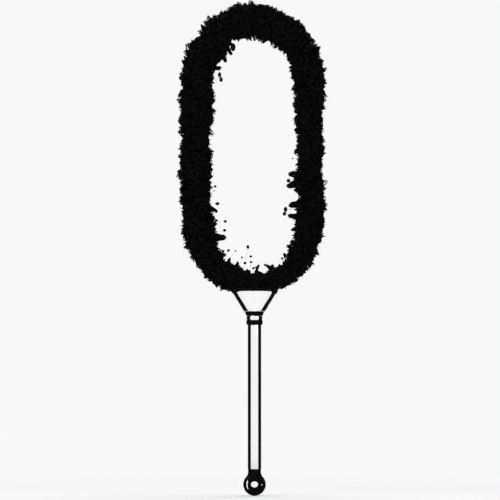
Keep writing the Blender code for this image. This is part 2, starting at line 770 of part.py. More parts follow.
def make_tail_block(axis, material):
    # Fills the ferrule, with a socket for the inner tube and one for each tail of the rod.
    inset = FERRULE_WALL + CLEARANCE
    rings = [ferrule_section(height, inset) for height in ferrule_heights(FERRULE_FOOT, BLOCK_TOP)]
    block = add_piece("tail_block", lofted("tail_block", rings, True), axis, material)
    smooth(block.data)
    below = Vector((0, 0, FERRULE_FOOT - CUT_OVERRUN))
    socket_end = Vector((0, 0, FERRULE_FOOT + SOCKET_DEPTH))
    cut(block, rod_cutter("block_socket", SLIDE_BORE, below, socket_end, ROUND_STEPS))
    for name, side in (("left", -1), ("right", 1)):
        foot = FERRULE_FOOT + TAIL_REST_HEIGHT
        cut(block, tail_hole(f"block_{name}_hole", side, foot, BLOCK_TOP + CUT_OVERRUN))
        pin_height = FERRULE_FOOT + TAIL_PIN_HEIGHT
        cut(block, cross_hole(f"block_{name}_pin_hole", side * TAIL_X, pin_height))
    cut(block, cross_hole("block_tube_pin_hole", 0, FERRULE_FOOT + TUBE_PIN_HEIGHT))
    return block


def make_cross_pin(name, x, height, axis, material):
    # A plain pin across the block, as long as the block is deep there.
    reach = ferrule_depth(abs(x) + PIN_RADIUS, height, FERRULE_WALL + 2 * CLEARANCE)
    shape = bmesh.new()
    bmesh.ops.create_cone(
        shape,
        cap_ends=True,
        segments=SMALL_STEPS,
        radius1=PIN_RADIUS,
        radius2=PIN_RADIUS,
        depth=2 * reach,
    )
    pin = add_piece(name, mesh_of(shape, name), axis, material)
    pin.rotation_euler.x = math.pi / 2
    pin.location = (x, 0, height)
    smooth(pin.data)
    return pin


# Head: rod, hide, bands and pile


def make_loop_rod(axis, material):
    mesh, place_in_world = swept("loop_rod", rod_line(TAIL_FOOT), ROD_RADIUS, PARTS)
    rod = add_piece("loop_rod", mesh, axis, material)
    rod.matrix_world = place_in_world
    smooth(mesh)
    for name, side in (("left", -1), ("right", 1)):
        height = FERRULE_FOOT + TAIL_PIN_HEIGHT
        cut(rod, cross_hole(f"rod_{name}_pin_hole", side * TAIL_X, height))
    return rod


def make_hide_sleeve(axis, material):
    line = rod_line(HIDE_FOOT)
    mesh, place_in_world = swept("hide_sleeve", line, HIDE_RADIUS, PARTS)
    sleeve = add_piece("hide_sleeve", mesh, axis, material)
    sleeve.matrix_world = place_in_world
    smooth(mesh)
    cut(sleeve, sweep_cutter("hide_bore", rod_line(FERRULE_FOOT), ROD_BORE))
    return sleeve


def make_sleeve_clamp(name, side, axis, material):
    profile = [
        (BAND_RADIUS, BAND_TOP),
        (BAND_RADIUS, BAND_FOOT),
        (HIDE_BORE, BAND_FOOT),
        (HIDE_BORE, BAND_TOP),
    ]
    band = turned(name, profile, axis, material, SMALL_STEPS)
    band.location.x = side * TAIL_X
    return band


def make_wool_pile(axis, material):
    # A closed, lumpy roll of fleece round the loop, tunnelled for the hide sleeve and its bands.
    line = loop_line(PILE_ARC_COUNT, PILE_STRAIGHT_COUNT)
    spans = [(b - a).length for a, b in zip(line, line[1:] + line[:1])]
    total = sum(spans)
    radii = []
    gone = 0
    for span in spans:
        radii.append(pile_radius(1 - abs(1 - 2 * gone / total)))
        gone += span
    mesh, place_in_world = swept(
        "wool_pile", line, PILE_RADIUS_SIDE, PARTS, radii=radii, closed=True, resolution=PILE_BEVEL_COUNT
    )
    shape = bmesh.new()
    shape.from_mesh(mesh)
    shape.normal_update()
    for vertex in shape.verts:
        lump = noise.noise(vertex.co / PILE_LUMP_SPACING)
        vertex.co += vertex.normal * PILE_LUMP * lump
    shape.to_mesh(mesh)
    shape.free()
    pile = add_piece("wool_pile", mesh, axis, material)
    pile.matrix_world = place_in_world
    smooth(mesh)
    flat = (2 * FERRULE_MOUTH_WIDTH, 2 * FERRULE_MOUTH_DEPTH, FERRULE_HEIGHT)
    cut(pile, box_cutter("pile_foot_flat", flat, Vector((0, 0, PILE_FOOT - FERRULE_HEIGHT / 2))))
    below = FERRULE_FOOT
    cut(pile, sweep_cutter("pile_tunnel", rod_line(below), HIDE_BORE))
    for name, side in (("left", -1), ("right", 1)):
        x = side * TAIL_X
        foot, top = Vector((x, 0, below)), Vector((x, 0, BAND_TOP + CLEARANCE))
        cut(pile, rod_cutter(f"pile_{name}_band_hole", BAND_RADIUS + CLEARANCE, foot, top))
    return pile


def main():
    bright = finish("bright_steel", (0.78, 0.79, 0.80), 0.22, 1.0)
    plated = finish("plated_steel", (0.80, 0.80, 0.82), 0.18, 1.0)
    nylon = finish("black_nylon", (0.02, 0.02, 0.022), 0.45, 0.0)
    natural = finish("natural_nylon", (0.75, 0.73, 0.68), 0.5, 0.0)
    rubber = finish("black_rubber", (0.018, 0.018, 0.018), 0.8, 0.0)
    gloss = finish("black_gloss_plastic", (0.012, 0.012, 0.013), 0.15, 0.0)
    hide = finish("hide", (0.35, 0.28, 0.2), 0.8, 0.0)
    wool = finish("black_wool", (0.015, 0.014, 0.014), 0.95, 0.0)

    handle = add_axis("handle_axis")
    collar = add_axis("collar_axis")
    extension = add_axis("extension_axis")
    head = add_axis("head_axis")
    collar.parent = extension.parent = handle
    head.parent = extension

    make_handle_tube(handle, bright)
    make_hang_cap(handle, gloss)
    make_collet(handle, nylon)

    make_lock_collar(collar, plated)
    make_collar_grip(collar, rubber)

    make_stop_ring(extension, natural)

    make_inner_tube(head, bright)
    make_inner_tube_plug(head, natural)
    make_stop_washer(head, bright)
    make_stop_screw(head, bright)
    make_ferrule_washer(head, nylon)
    make_ferrule_shell(head, plated)
    make_ferrule_plate(head, plated)
    make_tail_block(head, natural)
    tail_pin_height = FERRULE_FOOT + TAIL_PIN_HEIGHT
    make_cross_pin("tail_pin_left", -TAIL_X, tail_pin_height, head, bright)
    make_cross_pin("tail_pin_right", TAIL_X, tail_pin_height, head, bright)
    make_cross_pin("tube_pin", 0, FERRULE_FOOT + TUBE_PIN_HEIGHT, head, bright)
    make_loop_rod(head, bright)
    make_hide_sleeve(head, hide)
    make_sleeve_clamp("sleeve_clamp_left", -1, head, plated)
    make_sleeve_clamp("sleeve_clamp_right", 1, head, plated)
    make_wool_pile(head, wool)


main()
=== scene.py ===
import math

import bpy
import numpy as np
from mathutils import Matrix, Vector, noise


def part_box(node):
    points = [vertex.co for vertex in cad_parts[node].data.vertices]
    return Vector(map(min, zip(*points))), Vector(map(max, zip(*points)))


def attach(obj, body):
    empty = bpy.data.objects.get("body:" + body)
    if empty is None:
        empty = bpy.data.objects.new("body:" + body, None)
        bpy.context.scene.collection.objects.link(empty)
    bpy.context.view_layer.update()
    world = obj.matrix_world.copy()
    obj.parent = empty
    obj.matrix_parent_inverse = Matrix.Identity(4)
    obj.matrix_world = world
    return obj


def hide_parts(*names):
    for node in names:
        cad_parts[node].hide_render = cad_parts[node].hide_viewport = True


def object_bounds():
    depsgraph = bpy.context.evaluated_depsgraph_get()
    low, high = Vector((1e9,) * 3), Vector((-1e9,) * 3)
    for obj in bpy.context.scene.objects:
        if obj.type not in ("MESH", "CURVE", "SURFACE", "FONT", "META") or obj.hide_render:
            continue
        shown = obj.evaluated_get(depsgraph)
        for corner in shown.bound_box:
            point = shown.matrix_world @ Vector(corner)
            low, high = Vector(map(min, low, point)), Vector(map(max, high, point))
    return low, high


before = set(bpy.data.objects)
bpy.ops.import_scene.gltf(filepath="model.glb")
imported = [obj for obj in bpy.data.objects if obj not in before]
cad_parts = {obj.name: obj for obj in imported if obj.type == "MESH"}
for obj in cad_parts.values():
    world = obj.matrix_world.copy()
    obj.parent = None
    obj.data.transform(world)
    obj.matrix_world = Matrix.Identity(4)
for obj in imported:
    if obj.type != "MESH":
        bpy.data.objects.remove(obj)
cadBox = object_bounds()
mm = 0.001
rng = np.random.default_rng(20)


# Shader maths: Python arithmetic on a wire adds the nodes for it


class Wire:
    def __init__(self, finish, socket):
        self.finish = finish
        self.socket = socket

    def maths(self, operation, first, second):
        return self.finish.node("ShaderNodeMath", {"operation": operation}, {0: first, 1: second})

    def __add__(self, other):
        return self.maths("ADD", self, other)

    def __rsub__(self, other):
        return self.maths("SUBTRACT", other, self)

    def __mul__(self, other):
        return self.maths("MULTIPLY", self, other)


class Finish:
    # a node material, or any other node tree, with one way to add a node to it
    def __init__(self, tree):
        self.tree = tree

    def node(self, kind, settings=None, values=None, output=0):
        made = self.tree.nodes.new(kind)
        for name, value in (settings or {}).items():
            setattr(made, name, value)
        for name, value in (values or {}).items():
            self.feed(made.inputs[name], value)
        return Wire(self, made.outputs[output])

    def feed(self, socket, value):
        if isinstance(value, Wire):
            self.tree.links.new(value.socket, socket)
        else:
            socket.default_value = value

    def blend(self, share, first, second):
        return self.node("ShaderNodeMix", {"data_type": "RGBA"}, {0: share, 6: first, 7: second}, 2)

    def step(self, value, low, high, start=0.0, end=1.0):
        settings = {"interpolation_type": "SMOOTHSTEP"}
        return self.node("ShaderNodeMapRange", settings, {0: value, 1: low, 2: high, 3: start, 4: end})

    def place(self):
        return self.node("ShaderNodeTexCoord", output="Object")

    def grain(self, size, stretch=(1, 1, 1), detail=3.0, wander=0.0):
        # noise between 0 and 1 whose spots are about size metres across, drawn out by the stretch
        spread = tuple(1 / (size * s) for s in stretch)
        spots = self.node("ShaderNodeMapping", values={"Vector": self.place(), "Scale": spread})
        values = {"Vector": spots, "Scale": 1.0, "Detail": detail, "Distortion": wander}
        return self.node("ShaderNodeTexNoise", values=values)

    def bump(self, height, depth):
        return self.node("ShaderNodeBump", values={"Height": height, "Distance": depth})


def grey(value, warm=0.0):
    return (value * (1 + warm), value, value * (1 - warm), 1.0)


def newFinish(name, roughness, metallic=0.0, specular=0.5, tint=(1, 1, 1, 1)):
    material = bpy.data.materials.new(name)
    material.use_nodes = True
    finish = Finish(material.node_tree)
    finish.material = material
    finish.shader = material.node_tree.nodes["Principled BSDF"].inputs
    finish.shader["Roughness"].default_value = roughness
    finish.shader["Metallic"].default_value = metallic
    finish.shader["Specular IOR Level"].default_value = specular
    finish.shader["Specular Tint"].default_value = tint
    return finish


edgeTint = (0.04, 0.04, 0.04, 1)  # bright metal darkens just before its outline


def paint(finish, share, fresh, worn, wear, span, roughness, height=None, relief=0.0):
    # The share blends two colours, the wear's span blends two roughnesses, and the height bumps it.
    finish.feed(finish.shader["Base Color"], finish.blend(share, fresh, worn))
    finish.feed(finish.shader["Roughness"], finish.step(wear, *span, *roughness))
    if height:
        finish.feed(finish.shader["Normal"], finish.bump(height, relief))
    return finish.material


def drawnSteel():
    # bright drawn tube: fine lines run along it, with faint clouds and a few handling marks
    finish = newFinish("drawn_steel", 0.07, metallic=1.0, tint=edgeTint)
    lines = finish.grain(0.25 * mm, (1, 1, 120), 2.0)
    clouds = finish.grain(14 * mm, (1, 1, 3))
    marks = finish.step(finish.grain(1.6 * mm, (1, 1, 5), 4.0, 0.6), 0.66, 0.74)
    wear = lines * 0.45 + clouds * 0.35 + marks * 0.5
    bumps = lines + marks
    return paint(finish, wear, grey(0.93), grey(0.86), wear, (0.1, 0.9), (0.07, 0.15), bumps, 0.002 * mm)


def platedSteel():
    # polished plate on pressed sheet: nearly clean, softly clouded, with pin pricks
    finish = newFinish("plated_steel", 0.07, metallic=1.0, tint=edgeTint)
    clouds = finish.grain(9 * mm, detail=4.0, wander=0.8)
    pricks = finish.step(finish.grain(0.7 * mm, detail=2.0), 0.7, 0.78)
    wear = clouds * 0.6 + pricks * 0.5
    bumps = clouds * 0.5 + pricks
    return paint(finish, wear, grey(0.94), grey(0.88), wear, (0.1, 0.9), (0.07, 0.15), bumps, 0.004 * mm)


def turnedSteel():
    # the collar's barrel: rings left by the lathe run round it under the plate
    finish = newFinish("turned_steel", 0.08, metallic=1.0, tint=edgeTint)
    rings = finish.grain(0.22 * mm, (400, 400, 1), 2.0)
    clouds = finish.grain(6 * mm)
    wear = rings * 0.5 + clouds * 0.4
    return paint(finish, wear, grey(0.95), grey(0.86), wear, (0.1, 0.9), (0.08, 0.18), rings, 0.003 * mm)


def plainSteel(name, value):
    # unplated wire, pins and screw: greyer, with a dry grain and a little brown in the low spots
    finish = newFinish(name, 0.35, metallic=1.0)
    grain = finish.grain(0.6 * mm, (1, 1, 4), 4.0)
    stain = finish.step(finish.grain(5 * mm), 0.5, 0.8)
    metal = finish.blend(grain, grey(value), grey(value * 0.75))
    brown = grey(value * 0.6, 0.15)
    wear = grain + stain * 0.3
    return paint(finish, stain * 0.4, metal, brown, wear, (0.2, 1.1), (0.28, 0.5), grain, 0.01 * mm)


def blackGloss():
    # moulded gloss plastic: a faint ripple and hairline rubs
    finish = newFinish("black_gloss", 0.12, specular=0.035)
    ripple = finish.grain(5 * mm, detail=2.0)
    rubs = finish.step(finish.grain(0.5 * mm, (1, 1, 14), 3.0, 0.5), 0.62, 0.72)
    rubbed, bumps = rubs * 0.5, ripple + rubs * 0.2
    wear, span = ripple + rubbed, (0.3, 1.2)
    return paint(finish, rubbed, grey(0.0014), grey(0.006), wear, span, (0.08, 0.22), bumps, 0.01 * mm)


def mouldedNylon(name, value, warm, specular):
    # satin moulded nylon with a sparked grain and flow clouds
    finish = newFinish(name, 0.5, specular=specular)
    sparked = finish.grain(0.28 * mm, detail=2.0)
    flow = finish.grain(7 * mm, (1, 1, 2), 3.0, 1.0)
    worn = sparked * 0.4 + flow * 0.6
    pale, deep = grey(value, warm), grey(value * 0.7, warm)
    return paint(finish, worn, pale, deep, worn, (0.2, 0.8), (0.4, 0.58), sparked, 0.02 * mm)


def blackRubber():
    # matt rubber with a fine skin and pale dust where it is handled
    finish = newFinish("black_rubber", 0.8, specular=0.05)
    skin = finish.grain(0.2 * mm)
    dust = finish.step(finish.grain(3 * mm, detail=4.0), 0.5, 0.75)
    black, dusty = grey(0.002), grey(0.006)
    return paint(finish, dust * 0.5, black, dusty, skin, (0.3, 0.7), (0.68, 0.88), skin, 0.02 * mm)


def tannedHide():
    # the skin's flesh side: tan, blotched, with a suede nap
    finish = newFinish("tanned_hide", 0.85, specular=0.2)
    nap = finish.grain(0.3 * mm, detail=4.0)
    blotch = finish.grain(6 * mm, detail=4.0, wander=0.7)
    tan, deep = (0.42, 0.31, 0.19, 1), (0.22, 0.14, 0.08, 1)
    return paint(finish, blotch, tan, deep, nap, (0.3, 0.7), (0.78, 0.94), nap, 0.06 * mm)


def woolCorePaintedShadeFinish():
    # the felted body of the black fleece under the locks, coloured darker than the locks as painted shade of
    # the fleece's depth
    finish = newFinish("black_wool_depth_painted_shade", 0.95, specular=0.03)
    felt = finish.grain(1.2 * mm, detail=4.0, wander=1.0)
    # these greys sit below the locks' own: the black wool's colour plus painted shade of the fleece's depth
    return paint(finish, felt, grey(0.0008), grey(0.003), felt, (0.2, 0.8), (0.88, 0.98), felt, 0.5 * mm)


def woolLockFinish():
    # one lock: woolMap's u is its own shade, and v runs from its root to its sun-browned tip
    finish = newFinish("black_wool_locks", 0.7, specular=0.06)
    spot = finish.node("ShaderNodeUVMap", {"uv_map": "woolMap"})
    shade = finish.node("ShaderNodeSeparateXYZ", values={0: spot}, output="X")
    reach = finish.node("ShaderNodeSeparateXYZ", values={0: spot}, output="Y")
    body = finish.blend(shade, grey(0.0012), grey(0.0055, 0.04))
    tip = finish.blend(shade, grey(0.0025, 0.06), grey(0.009, 0.10))
    browned = finish.step(reach, 0.45, 1.0)
    return paint(finish, browned, body, tip, shade + reach * 0.3, (0.0, 1.3), (0.62, 0.85))


finishes = {
    "tube_steel": drawnSteel(),
    "plated_steel": platedSteel(),
    "turned_steel": turnedSteel(),
    "plain_steel": plainSteel("plain_steel", 0.55),
    "rod_steel": plainSteel("rod_steel", 0.45),
    "black_gloss": blackGloss(),
    "black_nylon": mouldedNylon("black_nylon", 0.0025, 0.0, 0.05),
    "natural_nylon": mouldedNylon("natural_nylon", 0.62, 0.05, 0.5),
    "black_rubber": blackRubber(),
    "hide": tannedHide(),
    "wool_core_painted_shade": woolCorePaintedShadeFinish(),
    "wool_locks": woolLockFinish(),
}
print("finishes made:", len(finishes))


# Modelling helpers: each new piece starts with nothing selected, and its place goes into its mesh


def deselectAll():
    bpy.ops.object.select_all(action="DESELECT")


def editMesh(on=True):
    bpy.ops.object.mode_set(mode="EDIT" if on else "OBJECT")


def turnRings(name, rings, sides, filled=False):
    # A circle is extruded and scaled from ring to ring; each ring is a radius and a height.
    deselectAll()
    radius, height = rings[0]
    fill = "NGON" if filled else "NOTHING"
    bpy.ops.mesh.primitive_circle_add(vertices=sides, radius=radius, location=(0, 0, height), fill_type=fill)
    piece = bpy.context.object
    piece.name = piece.data.name = name
    editMesh()
    bpy.ops.mesh.select_all(action="SELECT")
    for (fromRadius, fromHeight), (toRadius, toHeight) in zip(rings, rings[1:]):
        grow = toRadius / fromRadius
        lift = {"value": (0, 0, toHeight - fromHeight)}
        bpy.ops.mesh.extrude_region_move(TRANSFORM_OT_translate=lift)
        bpy.ops.transform.resize(value=(grow, grow, 1), center_override=(0, 0, toHeight))
    closeUp()
    bpy.ops.object.transform_apply(location=True, rotation=True, scale=True)
    return piece


def closeUp():
    # merges what meets, turns the faces outwards and leaves edit mode
    editMesh()
    bpy.ops.mesh.select_all(action="SELECT")
    bpy.ops.mesh.remove_doubles(threshold=0.001 * mm)
    bpy.ops.mesh.normals_make_consistent(inside=False)
    editMesh(False)


def cut(place, normal=(0, 0, 1), **options):
    # cuts all of the piece that is being edited
    bpy.ops.mesh.select_all(action="SELECT")
    bpy.ops.mesh.bisect(plane_co=place, plane_no=normal, **options)


def cutAcross(strand, heights):
    # Cuts a strand across at each height, and gives its corners (x, y, z) and triangles, to be copied.
    bpy.ops.object.transform_apply(location=True, rotation=True, scale=True)
    editMesh()
    for height in heights:
        cut((0, 0, height))
    bpy.ops.mesh.select_all(action="SELECT")
    bpy.ops.mesh.quads_convert_to_tris()
    editMesh(False)
    corners = np.array([vertex.co[:] for vertex in strand.data.vertices])
    faces = np.array([face.vertices[:] for face in strand.data.polygons])
    bpy.data.objects.remove(strand)
    return corners, faces


def applyModifier(piece, kind, **settings):
    bpy.context.view_layer.objects.active = piece
    modifier = piece.modifiers.new(kind.title(), kind)
    for name, value in settings.items():
        setattr(modifier, name, value)
    bpy.ops.object.modifier_apply(modifier=modifier.name)


def softenEdges(piece, width, segments=2):
    applyModifier(piece, "BEVEL", width=width, segments=segments, limit_method="ANGLE",
                  angle_limit=math.radians(28), harden_normals=False)


def settle(piece, finish, body, node, sharpAbove=32):
    deselectAll()
    piece.select_set(True)
    bpy.context.view_layer.objects.active = piece
    bpy.ops.object.transform_apply(location=True, rotation=True, scale=True)
    bpy.ops.object.shade_smooth_by_angle(angle=math.radians(sharpAbove))
    piece.data.materials.clear()
    piece.data.materials.append(finishes[finish])
    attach(piece, body)
    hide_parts(node)
    return piece


# Camera: a long lens, level and square to the front


cameraView = {"distance": 12.0, "across": 611.5 * mm, "aim": (-5.5 * mm, 0, 179 * mm), "sensor": 36}


def makeCamera():
    view = cameraView
    camera = bpy.data.objects.new("camera", bpy.data.cameras.new("camera"))
    bpy.context.scene.collection.objects.link(camera)
    camera.data.sensor_width = view["sensor"]
    camera.data.lens = view["sensor"] * view["distance"] / view["across"]
    camera.data.clip_start, camera.data.clip_end = 0.1, 60
    x, y, z = view["aim"]
    camera.location = (x, y - view["distance"], z)
    camera.rotation_euler = (math.pi / 2, 0, 0)
    bpy.context.scene.camera = camera


makeCamera()


# Studio: pale ground, even light, and a dark card round each side that draws the metal's outlines


studio = {
    "backdrop": 0.939, "mirrored": 1.0, "ambient": 0.62, "floorPale": 0.84, "floorRadius": 1.1,
    "floorDrop": 0.7 * mm, "floorFade": (0.35, 0.95), "cardDistance": 1.3, "cardStart": 66,
    "cardEnd": 147, "cardLift": 0.2 * mm, "cardTone": 0.005,
}

lamps = {
    "key_lamp": {"place": (-1.6, -2.6, 1.9), "aim": (0, 0, 0.18), "size": 1.4, "power": 30},
    "fill_lamp": {"place": (1.9, -2.4, 0.9), "aim": (0, 0, 0.18), "size": 1.4, "power": 12},
    "top_lamp": {"place": (0.2, 0.4, 2.6), "aim": (0, 0, 0), "size": 1.6, "power": 30},
}


def makeWorld():
    world = bpy.data.worlds.new("studio")
    bpy.context.scene.world = world
    world.use_nodes = True
    finish = Finish(world.node_tree)
    backdrop = world.node_tree.nodes["Background"].inputs
    seen = finish.node("ShaderNodeLightPath", output="Is Camera Ray")
    mirror = finish.node("ShaderNodeLightPath", output="Is Glossy Ray")
    through = finish.node("ShaderNodeLightPath", output="Is Transmission Ray")
    other = (1 - seen) * (1 - mirror) * (1 - through)
    level = seen * studio["backdrop"] + (mirror + through) * studio["mirrored"] + other * studio["ambient"]
    backdrop["Color"].default_value = (1, 1, 1, 1)
    finish.feed(backdrop["Strength"], level)


def makeLamp(name, place, aim, size, power):
    lamp = bpy.data.objects.new(name, bpy.data.lights.new(name, "AREA"))
    bpy.context.scene.collection.objects.link(lamp)
    lamp.data.shape = "DISK"
    lamp.data.size = size
    lamp.data.energy = power
    lamp.location = place
    lamp.rotation_euler = (Vector(aim) - Vector(place)).to_track_quat("-Z", "Y").to_euler()
    lamp.visible_camera = False
    return lamp


def makeFloor():
    # A disc just under the cap that fades out towards its rim, so that no horizon shows.
    deselectAll()
    radius, height = studio["floorRadius"], cadBox[0].z - studio["floorDrop"]
    bpy.ops.mesh.primitive_circle_add(vertices=96, radius=radius, location=(0, 0, height), fill_type="NGON")
    floor = bpy.context.object
    floor.name = "studio_floor"
    finish = newFinish("studio_floor", 0.9, specular=0.0)
    finish.feed(finish.shader["Base Color"], grey(studio["floorPale"]))
    out = finish.node("ShaderNodeVectorMath", {"operation": "LENGTH"}, {0: finish.place()}, "Value")
    rim = finish.step(out, *(share * radius for share in studio["floorFade"]))
    clear = finish.node("ShaderNodeBsdfTransparent")
    nodes = finish.material.node_tree.nodes
    surface = Wire(finish, nodes["Principled BSDF"].outputs[0])
    mixed = finish.node("ShaderNodeMixShader", values={0: rim, 1: surface, 2: clear})
    finish.feed(nodes["Material Output"].inputs["Surface"], mixed)
    floor.data.materials.append(finish.material)


def makeCard(name, side):
    # A slice of a dark dome and of the ground under it, which only mirrors see.
    deselectAll()
    ground = cadBox[0].z + studio["cardLift"]
    bpy.ops.mesh.primitive_uv_sphere_add(
        segments=180, ring_count=48, radius=studio["cardDistance"], location=(0, 0, ground)
    )
    card = bpy.context.object
    card.name = name
    editMesh()
    cut((0, 0, ground), clear_inner=True, use_fill=True)
    for turn, first in ((studio["cardStart"], True), (studio["cardEnd"], False)):
        angle = math.radians(turn)
        cut((0, 0, 0), (side * math.cos(angle), math.sin(angle), 0), clear_inner=first, clear_outer=not first)
    editMesh(False)
    finish = newFinish(name, 1.0, specular=0.0)
    finish.feed(finish.shader["Base Color"], grey(studio["cardTone"]))
    card.data.materials.append(finish.material)
    for ray in ("camera", "diffuse", "transmission", "volume_scatter", "shadow"):
        setattr(card, "visible_" + ray, False)


bpy.context.scene.view_settings.view_transform = "Standard"
makeWorld()
for lampName, lamp in lamps.items():
    makeLamp(lampName, **lamp)
makeFloor()
makeCard("left_card", -1)
makeCard("right_card", 1)
print("studio made")


# Handle


handleTube = {
    "wall": 0.8 * mm, "rounding": 0.25 * mm, "proud": 0.25 * mm, "footCut": 1.1 * mm, "sides": 96,
    "bands": 12,
}


def turnTube(name, radius, bore, top, foot, size):
    heights = np.linspace(top, foot, size["bands"] + 1)
    outer = [(radius, z) for z in heights]
    inner = [(bore, z) for z in heights[::-1]]
    tube = turnRings(name, outer + inner + outer[:1], size["sides"])
    softenEdges(tube, size["rounding"])
    return tube


def makeHandleTube():
    low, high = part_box("handle_tube")
    radius, bore = high.x + handleTube["proud"], high.x - handleTube["wall"]
    tube = turnTube("handleTube", radius, bore, high.z, low.z + handleTube["footCut"], handleTube)
    settle(tube, "tube_steel", "handle", "handle_tube")


hangCap = {
    "holeRadius": 4.3 * mm, "holeRounding": 0.9 * mm, "holeSquash": 0.86,
    "squashBand": (5.4 * mm, 7.6 * mm), "faceRim": 8.0 * mm, "faceEdge": 1.4 * mm,
    "ballProud": 0.5 * mm, "neckGap": 0.2 * mm, "neckHeight": 6.5 * mm, "neckBend": 3 * mm,
    "neckFlare": (1.6 * mm, 1.2 * mm), "neckRounding": 0.25 * mm, "stemShare": 0.8,
    "stemDepth": 2 * mm, "skirtRadius": 6.85 * mm, "skirtTaper": 0.6 * mm, "sides": 96,
}


def bezier(first, pull, last, count):
    shares = [i / count for i in range(count + 1)]
    return [
        tuple((1 - t) ** 2 * a + 2 * t * (1 - t) * b + t**2 * c for a, b, c in zip(first, pull, last))
        for t in shares
    ]


def makeHangCap():
    # The ball is turned about the hole's axis, then a turned neck and skirt are joined to it.
    size = hangCap
    low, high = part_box("hang_cap")
    tubeLow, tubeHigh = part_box("handle_tube")
    ball, face = high.x + size["ballProud"], high.y
    centre = low.z + high.x
    hole, lip = size["holeRadius"], size["holeRounding"]
    offFace = face - size["faceEdge"]
    onBall = math.sqrt(ball**2 - offFace**2)
    half = [(hole, face - lip)]
    half += bezier((hole, face - lip), (hole, face), (hole + lip, face), 5)[1:]
    half += bezier((size["faceRim"], face), (math.sqrt(ball**2 - face**2), face), (onBall, offFace), 12)
    side = math.acos(offFace / ball)
    for i in range(1, 9):
        angle = side + (math.pi / 2 - side) * i / 8
        half.append((ball * math.sin(angle), ball * math.cos(angle)))
    rings = half + [(r, -y) for r, y in half[-2::-1]]
    cap = turnRings("hangCap", rings + half[:1], size["sides"])
    for vertex in cap.data.vertices:
        # the hole is a little wider than high
        vertex.co.y *= np.interp(vertex.co.xy.length, size["squashBand"], (size["holeSquash"], 1))
    cap.rotation_euler.x = math.pi / 2
    cap.location.z = centre
    neckTop = tubeLow.z + handleTube["footCut"] - size["neckGap"]
    radius = tubeHigh.x
    skirt, taper = size["skirtRadius"], size["skirtTaper"]
    neckFoot = neckTop - size["neckHeight"]
    flare = (radius + size["neckFlare"][0], neckFoot - size["neckFlare"][1])
    stem = [(radius * size["stemShare"], centre + hole + size["stemDepth"]), flare]
    stem += bezier(flare, (radius, neckFoot), (radius, neckFoot + size["neckBend"]), 6)[1:]
    stem += [(radius, neckTop), (skirt, neckTop), (skirt, high.z - taper), (skirt - taper, high.z)]
    neck = turnRings("capNeck", stem, size["sides"], filled=True)
    softenEdges(neck, size["neckRounding"])
    applyModifier(cap, "BOOLEAN", object=neck, operation="UNION", solver="EXACT")
    bpy.data.objects.remove(neck)
    return settle(cap, "black_gloss", "handle", "hang_cap", sharpAbove=40)


# Two small lamps for the highlights on the cap, which nothing else mirrors. Each stands straight off
# from the point of the cap that should mirror it, and shines in a narrow cone.
capGlows = {
    "strip_glow": {"x": -8.75 * mm, "down": 1.4 * mm, "turn": -14, "size": (3.3 * mm, 15.4 * mm)},
    "spot_glow": {"x": 8.3 * mm, "down": 0.75 * mm, "turn": 11, "size": (2 * mm, 1.4 * mm)},
}
glowLamp = {"away": 15 * mm, "cone": 32, "strength": 20, "capMiddle": 13.4 * mm, "capFace": 8 * mm}


def makeCapGlows(cap):
    capOnly = bpy.data.collections.new("cap_only")
    capOnly.objects.link(cap)
    for name, glow in capGlows.items():
        angle = math.radians(glow["turn"])
        spot = Vector((glow["x"], -glowLamp["capFace"], cadBox[0].z + glowLamp["capMiddle"] - glow["down"]))
        place = spot + glowLamp["away"] * Vector((math.sin(angle), -math.cos(angle), 0))
        width, height = glow["size"]
        lamp = makeLamp(name, place, spot, width, glowLamp["strength"] * math.pi * width * height)
        lamp.data.shape = "RECTANGLE"
        lamp.data.size_y = height
        lamp.data.spread = math.radians(glowLamp["cone"])
        for ray in ("diffuse", "transmission", "volume_scatter"):
            setattr(lamp, "visible_" + ray, False)
        lamp.light_linking.receiver_collection = capOnly


makeHandleTube()
makeCapGlows(makeHangCap())
print("handle made")


# Lock collar


lockCollar = {
    "bulge": 0.5 * mm, "proud": 0.3 * mm, "wall": 2.1 * mm, "neckWall": 1.1 * mm,
    "neckHeight": 1.8 * mm, "topCut": 0.7 * mm, "boreHeight": 3 * mm, "coneHeight": 6.2 * mm,
    "mouthStep": 1 * mm, "mouthRelief": 0.3 * mm, "mouthLip": 1 * mm, "rounding": 0.15 * mm,
    "bands": 16, "sides": 96,
}


def makeLockCollar():
    size = lockCollar
    low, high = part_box("lock_collar")
    bore = high.x - size["wall"]
    top, crest = high.z - size["topCut"], high.x + size["proud"]
    barrelFoot = low.z + size["neckHeight"]
    shares = [i / size["bands"] for i in range(size["bands"] + 1)]
    barrel = [(crest - size["bulge"] * (2 * s - 1) ** 2, top + (barrelFoot - top) * s) for s in shares]
    neck, mouth = bore + size["neckWall"], bore - size["mouthStep"]
    relief = mouth + size["mouthRelief"]
    rings = barrel + [(neck, barrelFoot), (neck, low.z), (bore, low.z), (bore, low.z + size["boreHeight"])]
    rings += [(relief, low.z + size["coneHeight"]), (relief, top - size["mouthLip"]), (mouth, top)]
    collar = turnRings("lockCollar", rings + rings[:1], size["sides"])
    softenEdges(collar, size["rounding"])
    settle(collar, "turned_steel", "collar", "lock_collar")


# shoulder and foot: how far inside the crest, and how far above the grip's top or its foot
collarGrip = {
    "ribs": 22, "ribDepth": 0.3 * mm, "ribEdge": 0.2 * mm, "ribFullness": 0.6, "proud": 0.5 * mm,
    "bore": 8.4 * mm, "seat": 8.7 * mm, "step": 3.6 * mm,
    "shoulder": ((0.3 * mm, 0.2 * mm), (0, -0.15 * mm), (0, -1.2 * mm)),
    "foot": ((0, 2 * mm), (0.15 * mm, 1.2 * mm), (0.7 * mm, 0)),
}


